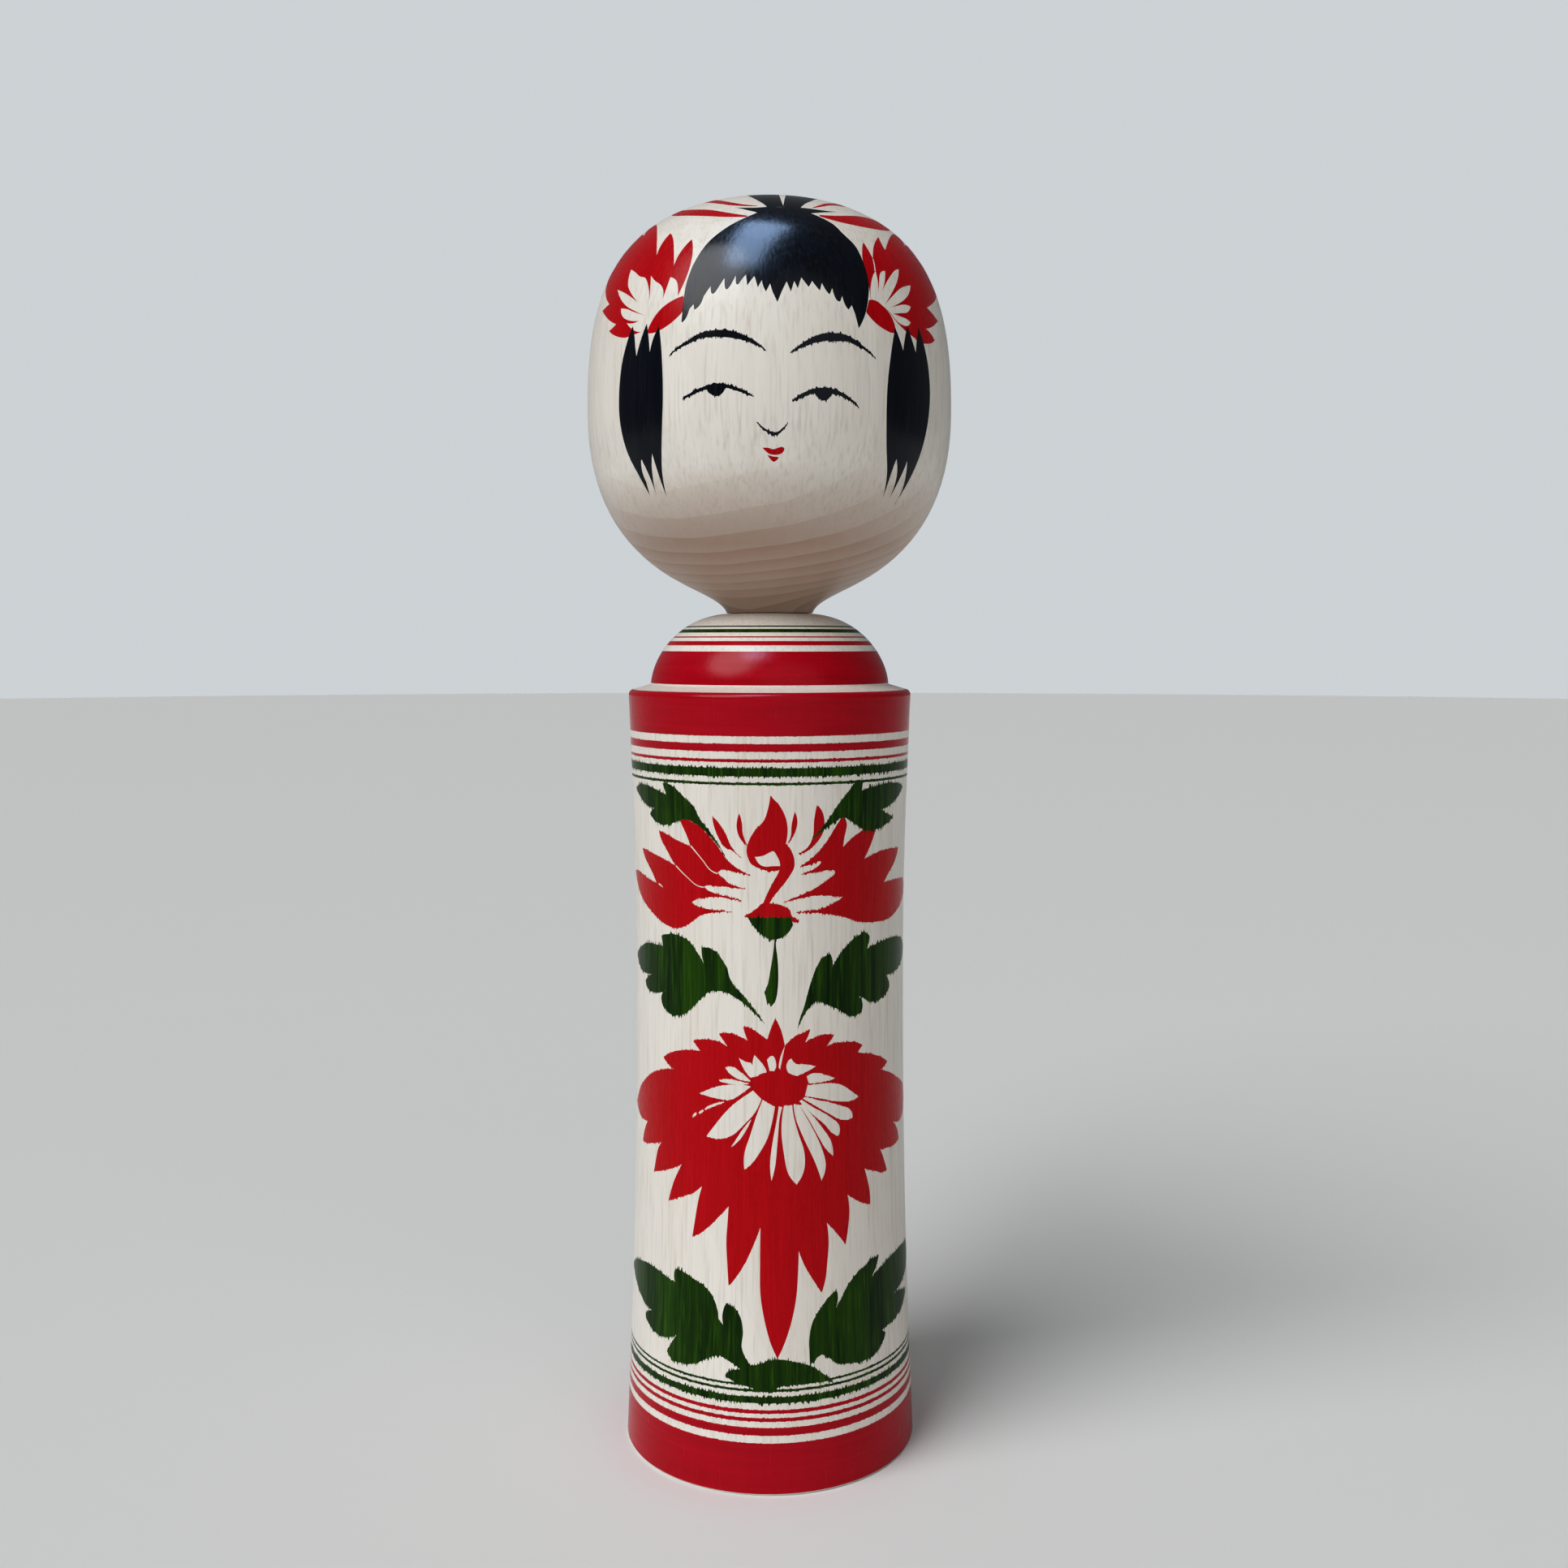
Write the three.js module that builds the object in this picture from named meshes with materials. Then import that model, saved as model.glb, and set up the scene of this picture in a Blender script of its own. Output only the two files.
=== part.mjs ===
// Kokeshi doll turned from two blocks of wood: a body and a head that turns in it.
// Millimetres, +Z up, origin at the middle of the flat base. Both pieces are solids of
// revolution about Z, so each is one profile of (radius, height) points. A curve's handles
// are the distances from its ends to its control points.

import * as THREE from 'three';

// Driving dimensions
const HEIGHT = 303;             // table to crown, one shaku
const SEGMENTS = 64;            // facets round each turned piece

// Barrel: waisted, chamfered at the base, with a flat ledge round its top
const BASE_RADIUS = 36.3;
const BASE_CHAMFER = 0.6;
const FOOT_HANDLE = 44.2;
const FOOT_LEAN = 2.2;          // the foot's handle leans in by this much
const WAIST_RADIUS = 33.1;
const WAIST_HEIGHT = 131.8;
const WAIST_HANDLE_DOWN = 50.1;
const WAIST_HANDLE_UP = 16.5;
const LEDGE_RADIUS = 34.5;
const LEDGE_HEIGHT = 187.5;
const LEDGE_HANDLE = 16.1;
const LEDGE_LEAN = 0.6;
const LEDGE_ROUNDING = 1.4;     // radius of the ledge's outer edge
const LEDGE_RISE = 1.2;         // the ledge climbs this much towards the dome

// Dome: a rounded shoulder that stands on the ledge
const DOME_RADIUS = 29.1;
const DOME_HANDLE = 6.7;
const DOME_LEAN = 0.4;
const SHOULDER_HEIGHT = 205.8;  // top of the dome, where the head sits
const SHOULDER_HANDLE = 13.1;

// Head: a narrow neck flares into a ball that is widest above its middle
const NECK_RADIUS = 10.5;
const NECK_GAP = 0.3;           // the head runs clear of the shoulder by this much
const NECK_HEIGHT = SHOULDER_HEIGHT + NECK_GAP;
const NECK_HANDLE = 2.5;
const NECK_LEAN = 0.8;
const CHIN_RADIUS = 21;         // where the hollow flare of the neck turns into the chin
const CHIN_HEIGHT = 212.9;
const CHIN_SLOPE = 27;          // degrees above level at that ring
const CHIN_HANDLE_IN = 6.2;
const CHIN_HANDLE_OUT = 14;
const HEAD_RADIUS = 43.75;
const HEAD_MIDDLE = 252.8;      // height of the widest ring
const CHEEK_HANDLE = 22;
const TEMPLE_HANDLE = 23.7;
const CROWN_HANDLE = 40.75;

// Joint: a flanged plug below the neck snaps through a lip into a blind bore
const LIP_RADIUS = 8;
const LIP_DEPTH = 4.5;
const LIP_CHAMFER = 0.9;
const BORE_RADIUS = 9.1;
const BORE_DEPTH = 17;
const BORE_UNDERCUT = 1.2;      // height of the slope from the lip out to the bore
const FIT_CLEARANCE = 0.08;     // radial running fit of the plug in the lip
const FLANGE_RADIUS = 8.75;
const FLANGE_DROP = 0.5;        // the flange stays this far below the lip
const PLUG_LENGTH = 15.5;
const PLUG_CHAMFER = 1.2;

// Straight steps along each curve
const FOOT_STEPS = 8;
const WAIST_STEPS = 5;
const ROUNDING_STEPS = 4;
const DOME_STEPS = 9;
const NECK_STEPS = 5;
const CHEEK_STEPS = 10;
const CROWN_STEPS = 14;

// Finish
const BODY_COLOR = 0xb01020;    // mostly the red of the paint
const HEAD_COLOR = 0xd9cdc0;    // bare pale wood
const ROUGHNESS = 0.4;

const point = (radius, height) => new THREE.Vector2(radius, height);

// The point at a signed distance from another, up a slope given in degrees.
function upSlope(from, degrees, distance) {
  const angle = THREE.MathUtils.degToRad(degrees);
  return point(from.x + distance * Math.cos(angle), from.y + distance * Math.sin(angle));
}

// Points along a Bezier curve, without its last point, which starts the next stretch.
function bend(from, fromControl, toControl, to, steps) {
  const curve = new THREE.CubicBezierCurve(from, fromControl, toControl, to);
  return curve.getPoints(steps).slice(0, -1);
}

// Quarter round from the barrel's side onto the flat ledge.
function ledgeEdge() {
  const points = [];
  for (let step = 0; step <= ROUNDING_STEPS; step += 1) {
    const angle = (step / ROUNDING_STEPS) * (Math.PI / 2);
    const across = LEDGE_RADIUS - LEDGE_ROUNDING * (1 - Math.cos(angle));
    const up = LEDGE_HEIGHT - LEDGE_ROUNDING * (1 - Math.sin(angle));
    points.push(point(across, up));
  }
  return points;
}

// Barrel side: from the base in to the waist, then out to the ledge.
function barrelProfile() {
  const foot = point(BASE_RADIUS, BASE_CHAMFER);
  const footControl = point(BASE_RADIUS - FOOT_LEAN, BASE_CHAMFER + FOOT_HANDLE);
  const waist = point(WAIST_RADIUS, WAIST_HEIGHT);
  const waistBelow = point(WAIST_RADIUS, WAIST_HEIGHT - WAIST_HANDLE_DOWN);
  const waistAbove = point(WAIST_RADIUS, WAIST_HEIGHT + WAIST_HANDLE_UP);
  const edge = point(LEDGE_RADIUS, LEDGE_HEIGHT - LEDGE_ROUNDING);
  const edgeControl = point(edge.x - LEDGE_LEAN, edge.y - LEDGE_HANDLE);
  return [
    ...bend(foot, footControl, waistBelow, waist, FOOT_STEPS),
    ...bend(waist, waistAbove, edgeControl, edge, WAIST_STEPS),
  ];
}

// Domed shoulder, from its foot on the ledge to its flat top round the bore.
function domeProfile() {
  const foot = point(DOME_RADIUS, LEDGE_HEIGHT + LEDGE_RISE);
  const footControl = point(foot.x - DOME_LEAN, foot.y + DOME_HANDLE);
  const top = point(LIP_RADIUS + LIP_CHAMFER, SHOULDER_HEIGHT);
  const topControl = point(top.x + SHOULDER_HANDLE, SHOULDER_HEIGHT);
  return [...bend(foot, footControl, topControl, top, DOME_STEPS), top];
}

// Blind bore: lip, undercut, wall and floor, ending on the axis.
function boreProfile() {
  const lipBottom = SHOULDER_HEIGHT - LIP_DEPTH;
  const floor = SHOULDER_HEIGHT - BORE_DEPTH;
  return [
    point(LIP_RADIUS, SHOULDER_HEIGHT - LIP_CHAMFER),
    point(LIP_RADIUS, lipBottom),
    point(BORE_RADIUS, lipBottom - BORE_UNDERCUT),
    point(BORE_RADIUS, floor),
    point(0, floor),
  ];
}

function bodyProfile() {
  return [
    point(0, 0),
    point(BASE_RADIUS - BASE_CHAMFER, 0),
    ...barrelProfile(),
    ...ledgeEdge(),
    ...domeProfile(),
    ...boreProfile(),
  ];
}

// Plug, from its end face on the axis up to the underside of the neck.
function plugProfile() {
  const end = SHOULDER_HEIGHT - PLUG_LENGTH;
  const flangeTop = SHOULDER_HEIGHT - LIP_DEPTH - FLANGE_DROP;
  const journal = LIP_RADIUS - FIT_CLEARANCE;
  const slope = BORE_UNDERCUT * (FLANGE_RADIUS - journal) / (BORE_RADIUS - LIP_RADIUS);
  return [
    point(0, end),
    point(FLANGE_RADIUS - PLUG_CHAMFER, end),
    point(FLANGE_RADIUS, end + PLUG_CHAMFER),
    point(FLANGE_RADIUS, flangeTop - slope),
    point(journal, flangeTop),
    point(journal, NECK_HEIGHT),
  ];
}

// Outside of the head: neck, chin, cheeks and crown, ending on the axis.
function faceProfile() {
  const neck = point(NECK_RADIUS, NECK_HEIGHT);
  const neckControl = point(NECK_RADIUS + NECK_LEAN, NECK_HEIGHT + NECK_HANDLE);
  const chin = point(CHIN_RADIUS, CHIN_HEIGHT);
  const chinInside = upSlope(chin, CHIN_SLOPE, -CHIN_HANDLE_IN);
  const chinOutside = upSlope(chin, CHIN_SLOPE, CHIN_HANDLE_OUT);
  const widest = point(HEAD_RADIUS, HEAD_MIDDLE);
  const cheekControl = point(HEAD_RADIUS, HEAD_MIDDLE - CHEEK_HANDLE);
  const templeControl = point(HEAD_RADIUS, HEAD_MIDDLE + TEMPLE_HANDLE);
  const crown = point(0, HEIGHT);
  const crownControl = point(CROWN_HANDLE, HEIGHT);
  return [
    ...bend(neck, neckControl, chinInside, chin, NECK_STEPS),
    ...bend(chin, chinOutside, cheekControl, widest, CHEEK_STEPS),
    ...bend(widest, templeControl, crownControl, crown, CROWN_STEPS),
    crown,
  ];
}

function headProfile() {
  return [...plugProfile(), ...faceProfile()];
}

// Turns a profile round Z into a named mesh with its own material.
function turned(name, profile, color) {
  const geometry = new THREE.LatheGeometry(profile, SEGMENTS);
  geometry.rotateX(Math.PI / 2);
  const material = new THREE.MeshStandardMaterial({ color, roughness: ROUGHNESS, metalness: 0 });
  const mesh = new THREE.Mesh(geometry, material);
  mesh.name = name;
  return mesh;
}

const doll = new THREE.Group();
doll.add(turned('body', bodyProfile(), BODY_COLOR));
doll.add(turned('head', headProfile(), HEAD_COLOR));

export default doll;
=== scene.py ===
# Kokeshi doll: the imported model's two turned pieces, remade as fine painted surfaces.
# A piece is a surface of revolution, so a place on it is a turn about Z, from the middle of
# the front towards +X, and a distance along the profile from its top end. Every painted
# shape is cut into the mesh along its outline, and its faces take the ink's material.
import math

import bmesh
import bpy
import numpy as np
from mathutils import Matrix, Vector
from mathutils.geometry import delaunay_2d_cdt


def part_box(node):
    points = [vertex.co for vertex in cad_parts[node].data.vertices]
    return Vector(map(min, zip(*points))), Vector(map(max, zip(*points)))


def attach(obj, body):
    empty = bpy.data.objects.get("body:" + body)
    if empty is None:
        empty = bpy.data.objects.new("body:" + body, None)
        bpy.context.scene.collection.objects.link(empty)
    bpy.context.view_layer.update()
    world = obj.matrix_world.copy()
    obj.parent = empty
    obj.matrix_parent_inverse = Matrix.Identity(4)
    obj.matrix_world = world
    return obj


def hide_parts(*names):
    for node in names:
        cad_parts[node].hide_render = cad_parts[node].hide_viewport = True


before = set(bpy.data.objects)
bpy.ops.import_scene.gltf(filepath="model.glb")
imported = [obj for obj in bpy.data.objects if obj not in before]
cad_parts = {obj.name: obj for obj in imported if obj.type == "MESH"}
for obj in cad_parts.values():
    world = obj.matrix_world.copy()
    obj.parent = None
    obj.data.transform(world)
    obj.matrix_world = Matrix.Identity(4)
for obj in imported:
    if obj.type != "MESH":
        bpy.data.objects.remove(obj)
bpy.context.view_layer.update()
MM = 0.001

# ---------------------------------------------------------------- driving dimensions, mm

body_high = np.array(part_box("body")[1]) / MM
head_low, head_high = (np.array(corner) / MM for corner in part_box("head"))

BASE_RADIUS = body_high[0]
BASE_CHAMFER = 0.6
FOOT_HANDLE, FOOT_LEAN = 44.2, 2.2
WAIST_RADIUS, WAIST_HEIGHT = 33.1, 131.8
WAIST_HANDLE_DOWN, WAIST_HANDLE_UP = 50.1, 16.5
LEDGE_RADIUS, LEDGE_HEIGHT, LEDGE_RISE = 34.5, 187.5, 1.2
LEDGE_HANDLE, LEDGE_LEAN = 16.1, 0.6
LEDGE_ROUNDING = 1.4
DOME_RADIUS = 29.1
DOME_HANDLE, DOME_LEAN = 6.7, 0.4
SHOULDER_HEIGHT = body_high[2]
SHOULDER_HANDLE = 13.1
LIP_RADIUS, LIP_DEPTH, LIP_CHAMFER = 8.0, 4.5, 0.9
BORE_RADIUS, BORE_DEPTH, BORE_UNDERCUT = 9.1, 17.0, 1.2

NECK_RADIUS, NECK_GAP = 10.5, 0.12
NECK_HANDLE, NECK_LEAN = 2.5, 0.8
CHIN_RADIUS, CHIN_HEIGHT, CHIN_SLOPE = 21.0, 212.9, math.radians(27)
CHIN_HANDLE_IN, CHIN_HANDLE_OUT = 6.2, 14.0
HEAD_RADIUS, HEAD_MIDDLE = head_high[0], 252.8
CHEEK_HANDLE, TEMPLE_HANDLE, CROWN_HANDLE = 22.0, 23.7, 40.75
CROWN_HEIGHT = head_high[2]
PLUG_END, PLUG_CHAMFER = head_low[2], 1.2
JOURNAL_RADIUS, FLANGE_RADIUS, FLANGE_DROP = 7.92, 8.75, 0.5

HALF_ROUND = math.pi * WAIST_RADIUS   # the barrel laid flat is this wide on each side
TURNS = 192                     # columns of faces round each piece
DOME_ROWS, NECK_ROWS, BASE_ROWS, EDGE_ROWS = 40, 20, 10, 10   # rows of vertices down each
FLAT_ROWS, SHORT_ROWS = 4, 3    # rows on a plain flat, and on any other short stretch
GRID = 2.6                      # spacing of the plain vertices between the painted shapes
STROKE_STEP = 0.18              # spacing of the vertices along a painted outline
WELD = 0.002                    # vertices closer than this are one
CUT_ROOM = 0.001                # outlines closer than this meet
FRONT_TURN, FRONT_ROOM = math.radians(100), 0.84   # the front's half turn, share of its UVs
BODY_UV_HEIGHTS = [1, 0.97, 0.85, 0.05, 0]   # top end, dome, barrel, barrel's foot, bottom end
HEAD_UV_HEIGHTS = [1, 0.08, 0]               # top end, chin, bottom end

# The material slots: bare wood, three brushed inks, and the bands' red, which is laid on
# with the doll spinning
WOOD, RED, GREEN, BLACK, RING_RED = range(5)

# ---------------------------------------------------------------- painted outlines, mm
# An outline is a list of runs. Each run starts at a sharp corner and curves through its
# other points to the next run's corner. A brush line is a list of (x, y, width) points.
# On the barrel and the face a point is (arc from the middle of the front, height), and on
# the crown it is (right, back), measured over the surface from the top of the head.

LEAF_UPPER_LEFT = [
    [(-41.2, 164), (-38.8, 164.9), (-36.4, 165.2), (-32.5, 165), (-28.4, 164.1)],
    [(-26, 163.5)],
    [(-27.2, 166.1), (-25, 166), (-22.5, 164.8), (-20, 162.9), (-17.8, 161.3), (-16.3, 158.6),
     (-14.1, 156.1), (-11.9, 153.3)],
    [(-9.7, 149.6), (-11.6, 152.4), (-13.9, 154.9), (-16.2, 156.6), (-19, 158), (-21.9, 157.8),
     (-25, 156.8), (-27.5, 156.4), (-30.2, 157)],
    [(-32.8, 158.4), (-31.3, 159.7)],
    [(-30, 160.1), (-34, 160.5), (-37.8, 162)],
]

LEAF_UPPER_RIGHT = [
    [(21, 166.9), (19, 164.7), (16.5, 162), (14.6, 159.4), (12.6, 156.8)],
    [(10.1, 154.4), (12.6, 156.1), (14.9, 157.5), (17.6, 158.8), (20.9, 157.2), (24, 155.5),
     (28.4, 155.3), (32, 156.2)],
    [(35.3, 157.5), (32.3, 158.6)],
    [(29.5, 159.8), (34, 160.7), (38, 162.3)],
    [(41.3, 164.2), (38.5, 165.2), (33.4, 165.8), (27.1, 165.4)],
    [(22.9, 164.7)], [(23.1, 166.9)],
]

LEAVES_MIDDLE = [
    [[(-44.8, 122.9), (-41.9, 124.5), (-38.8, 126.1), (-35.6, 127.1), (-32.5, 127.4)],
     [(-28.3, 127.5)],
     [(-28.9, 129.9), (-27.5, 130.4), (-25, 130.8), (-22.5, 130.6), (-20.2, 130), (-18.4, 128.6),
      (-17.2, 127.1)],
     [(-15.4, 124.6), (-16, 126.3)],
     [(-16.2, 128.5), (-14.4, 128.6), (-12.5, 127.8), (-10.9, 126.1), (-9.7, 124.2), (-9.1, 122.1),
      (-8, 120.2), (-5.9, 118), (-3.8, 115.5)],
     [(-0.9, 111.5), (-3.8, 114.6), (-5.9, 116.4), (-8.1, 117.8), (-10, 118.6), (-12.2, 118.9),
      (-14.1, 118.5), (-15.6, 117.4), (-18.4, 114.6), (-20.3, 113), (-22.5, 111.9), (-25.9, 111.8),
      (-28.6, 113.6), (-29.1, 115.2), (-28.2, 116.4)],
     [(-26.8, 117.5), (-30, 116.1), (-32.5, 115.8), (-35.3, 116.1)],
     [(-37, 117.7), (-35, 119.2)],
     [(-32.4, 120.3), (-35, 119.9), (-37.8, 119.7), (-40.9, 120.3)]],
    [[(6.7, 110.2), (7.2, 112.6), (8.2, 115.3), (9, 118.2), (10, 121.4), (11.4, 124.6),
      (13.2, 126.7)],
     [(14.7, 127), (15.3, 125.2)],
     [(14.9, 123.5), (16.4, 125.9), (18.9, 128.5), (21.6, 130.3), (24.6, 131.1), (26.2, 130.2),
      (25.9, 128.6)],
     [(25.1, 127.2), (29.2, 128), (33.5, 128.4), (38.6, 128.2), (43, 127.1)],
     [(47.6, 124.3), (44.9, 122), (40.5, 120.5), (36.5, 119.9)],
     [(32.1, 119.9), (34, 118.6), (34.7, 117), (33.6, 115.7), (30.2, 114.6), (26.2, 114.6),
      (24.4, 115.7)],
     [(22.4, 116.6), (23.8, 114.9), (23.8, 113.2), (22.3, 112.1), (19.9, 112.2), (16.8, 114),
      (13.6, 115.6), (11.4, 116.5), (9.7, 115.4), (8.3, 113.6)]],
]

LEAVES_LOWER = [
    [[(-47, 44.3), (-44.1, 46), (-41, 47.4), (-37.2, 48.4), (-33, 49), (-28.5, 48.5)],
     [(-23.3, 47.4), (-23.8, 49)],
     [(-23.5, 50.6), (-21.3, 50.7), (-17.3, 49.4), (-14.7, 48.2), (-12.8, 46), (-11.7, 43),
      (-11.4, 41)],
     [(-10.4, 40.1), (-10.6, 42.5)],
     [(-9.9, 44.9), (-7.9, 44.4), (-6.4, 42.2), (-5.8, 39), (-6, 34.8)],
     [(-3.6, 30.5)],
     [(-6.2, 29.8), (-8.2, 31.3), (-11.6, 32.7), (-14.1, 31.5), (-17.6, 29.5), (-20.5, 28.8),
      (-24, 28.9)],
     [(-25.6, 30.3), (-22.9, 34.6)],
     [(-21.5, 36.4), (-24.2, 34.2), (-26.9, 33.3), (-31, 33.5), (-33.5, 34.6)],
     [(-34.8, 36), (-33.5, 37.2)],
     [(-31.5, 38.1), (-35.7, 38.8), (-41, 41.3)]],
    [[(9.2, 30.2), (9.1, 33), (9.1, 37.1), (10, 40.9), (12.5, 44.6), (14.6, 46.7)],
     [(15.8, 47.3), (16.2, 45.8)],
     [(15.5, 42.9), (17.5, 45.9), (19.1, 48.2), (22, 50.5), (24.8, 51.7)],
     [(25.8, 52.7)], [(27, 52.3)], [(28.9, 52.8), (28, 50.6)],
     [(25.9, 47.8), (30, 49.6), (35.9, 50.9), (42.2, 50.9), (46.5, 50.2)],
     [(49.2, 47), (46, 44), (40.6, 42.2), (37.5, 41.5)],
     [(35, 41), (40.3, 40.1)],
     [(44, 38.5), (40.5, 36.1), (36.9, 35.1), (32.2, 34.4)],
     [(29.1, 34.3)],
     [(30.9, 32.8), (29.5, 31), (26.3, 29), (23.4, 28.7), (18.4, 29.3), (15.9, 29.9), (13.6, 31.9),
      (11.9, 32.7), (10.7, 32)],
     [(10.2, 30.8)], [(9.7, 31.3)]],
    [[(-9.8, 28.2), (-8.5, 29.4), (-6, 30), (-2.5, 31.3), (2, 32.5), (6, 31.6), (9.5, 30.2),
      (12.4, 28)],
     [(14.6, 25.7), (12.8, 26.3), (8, 26.4), (4, 26.4), (2, 25.9)],
     [(0.5, 24.6), (-1.6, 25.2), (-5, 26.1), (-8.2, 27.1)]],
]

CALYX = [
    [(-4.7, 136.1), (-3.4, 134.2), (-1.9, 132.6), (0.2, 131.4), (2.2, 131.3), (4.1, 132.4)],
    [(5.6, 134.5)], [(5.1, 136.1)],
]

STALK = [
    [(1.3, 131.6), (1.2, 129.5), (0.8, 126.5), (0.3, 123.5), (-0.2, 120.8)],
    [(-1, 119), (-0.6, 117.5)], [(-0.4, 116.3)], [(0.1, 116.4)],
    [(0.5, 115.6), (1.6, 117.2), (2.1, 120), (2.2, 124), (2, 127), (1.7, 129.5)],
    [(1.7, 131.6)],
]

FLOWER_UPPER = [
    # curling middle petal, and the cap on the calyx
    [[(0.4, 164.1), (2.4, 162), (3.8, 159.3), (4.3, 156.5)],
     [(3.9, 153.2), (5, 151.8), (5.8, 149.8), (5.8, 147.7), (4.3, 145.1), (2.2, 142.4),
      (0.9, 140.8)],
     [(0.1, 139.2)],
     [(-1.4, 139.2), (0.6, 143.6), (1.9, 145.9)],
     [(2.5, 147.2), (0.5, 147), (-1.9, 147.5), (-4, 148.8), (-5, 151.3), (-4.5, 153.7), (-3.2, 156),
      (-1, 158.6), (-0.1, 161.3)]],
    [[(-5.6, 136.5), (-3.1, 137.9), (-1.5, 139.4), (1, 139.4), (3.7, 138.7), (4.9, 137.8),
      (5.4, 136.4)],
     [(7, 135.4)], [(6.9, 135)], [(5.6, 135.1)], [(5, 136)], [(-4.3, 136)]],
    # four thin free petals
    [[(-13, 159.2), (-11.6, 157.9), (-9.9, 155.5), (-8.5, 152.4)],
     [(-6.2, 149.9), (-8.3, 151.5), (-10.2, 152.4), (-11.7, 154.7), (-12.7, 157.2)]],
    [[(-6.6, 160.1), (-6, 157.9), (-5.8, 155.5)],
     [(-4.8, 152.8), (-6.3, 154.2), (-7.2, 156.6), (-7.1, 158.6)]],
    [[(5.9, 160.5), (6.5, 158.6), (6.3, 156.7), (5.2, 154.3)],
     [(4.2, 153.1), (5, 155), (5.2, 157.5)]],
    [[(11, 161.8), (12.3, 160.4), (12.9, 158.2), (12.6, 155.6), (11, 153.2), (8.6, 151.3)],
     [(6.8, 150.8), (9.2, 152.6), (10.2, 155), (10.4, 158.5)]],
    # the left fan, then the right one
    [[(-21.7, 157.7), (-19.5, 157.9), (-17, 157), (-14.5, 155.2), (-12, 152.6), (-9.6, 149.4),
      (-7.2, 147.5)],
     [(-4, 145.9), (-6.3, 146.4), (-9.4, 147), (-10.9, 147.1)],
     [(-11.9, 146.1), (-10.6, 145.1), (-9.1, 143.9), (-7, 143.2)],
     [(-5.3, 142.7), (-8.1, 143), (-11.5, 143.2), (-14.9, 143.1)],
     [(-15.5, 142.6), (-13.5, 141.7), (-10.6, 141), (-8.2, 140.5)],
     [(-6.2, 140), (-9.1, 140.4), (-11.9, 140.7), (-15, 140.4), (-17.2, 139.9), (-18.7, 138.9),
      (-17.4, 138.2), (-14.5, 137.7)],
     [(-8.1, 137.4), (-13, 137), (-16.3, 136.1), (-18.2, 134.8)],
     [(-20.2, 133.5), (-23.8, 132.4), (-28.1, 133.1), (-33.1, 135.1), (-39.4, 137.9), (-43.8, 141)],
     [(-46.2, 143.1), (-42.5, 143.8), (-37.8, 143.4), (-33.1, 142.5)],
     [(-30.6, 142.2), (-33.1, 145.1), (-36.3, 147.8)],
     [(-37.8, 149.8), (-34.7, 149.6), (-29.5, 148.7), (-25.5, 147.7)],
     [(-23.4, 147), (-26.6, 150.8), (-28.4, 153)],
     [(-29.1, 154.8), (-26.3, 154.2), (-22.5, 153)],
     [(-18.8, 151.9), (-19.9, 154.4)]],
    [[(17.6, 159.2), (16.2, 157.3), (13.4, 153.3), (11.5, 151.1), (9.3, 149.2)],
     [(7.2, 147.9), (9.3, 148.2), (12.1, 149)],
     [(12, 148.3), (10.4, 147.1), (8.8, 146.5)],
     [(7.2, 146), (10.3, 146.4), (15.6, 146.6)],
     [(15.6, 145.7), (13.4, 144.2), (11.5, 143.1), (9.3, 142), (6.2, 140.8)],
     [(3.4, 139.7), (6.2, 140.4), (9.3, 140.9), (12.1, 141.1), (15.3, 140.7)],
     [(18, 140.2), (14.6, 138.6), (12.1, 137.8), (9.3, 137.5)],
     [(6.2, 137.3), (12.4, 136.9), (17.8, 135.7), (22.8, 134), (28.4, 133.3), (33.5, 133.3),
      (38.5, 134.4), (44, 136.4)],
     [(47.8, 139.2), (45, 141.5), (40, 142.1), (36, 142.3)],
     [(31.5, 142.3), (34, 144.5), (37, 146.6)],
     [(39.3, 149.7), (35, 150), (30.3, 149.9), (27, 149.3)],
     [(23.9, 148.6), (26, 151.5)],
     [(28.4, 156.6), (23.4, 155.3), (20.6, 154)],
     [(17.8, 151.8), (18.1, 154), (18.7, 157.3)]],
]

CURL_EYE = [
    [(-3.1, 150.2), (-1.2, 150.5), (0, 151.1), (1.1, 151.5), (2, 150.2), (2.5, 149.1)],
    [(2.6, 148.1), (0.9, 148.1), (-0.8, 148), (-2, 148.5)],
]

# Bare gaps between neighbouring petals, as brush lines
GAPS_UPPER = [
    [(-18.8, 152.1, 0.35), (-15.6, 148.9, 0.22), (-13.8, 146.9, 0.22), (-11.9, 146.1, 0.3)],
    [(-23.4, 147.1, 0.35), (-20, 144.7, 0.2), (-17.5, 143.1, 0.22), (-15.5, 142.7, 0.3)],
    [(-29.8, 142.2, 0.35), (-28.9, 141.9, 0.35), (-28.1, 141.5, 0.1)],
]

GAPS_LOWER = [
    [(-10.5, 92.8, 0.1), (-13.4, 91.7, 0.5), (-15.3, 90.6, 0.3)],
    [(-15.7, 90.3, 0.3), (-16.3, 89.9, 0.5), (-16.9, 89.4, 0.2)],
    [(-17.6, 89.4, 0.3), (-18.2, 88.8, 0.5), (-18.7, 88.2, 0.1)],
]

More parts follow.
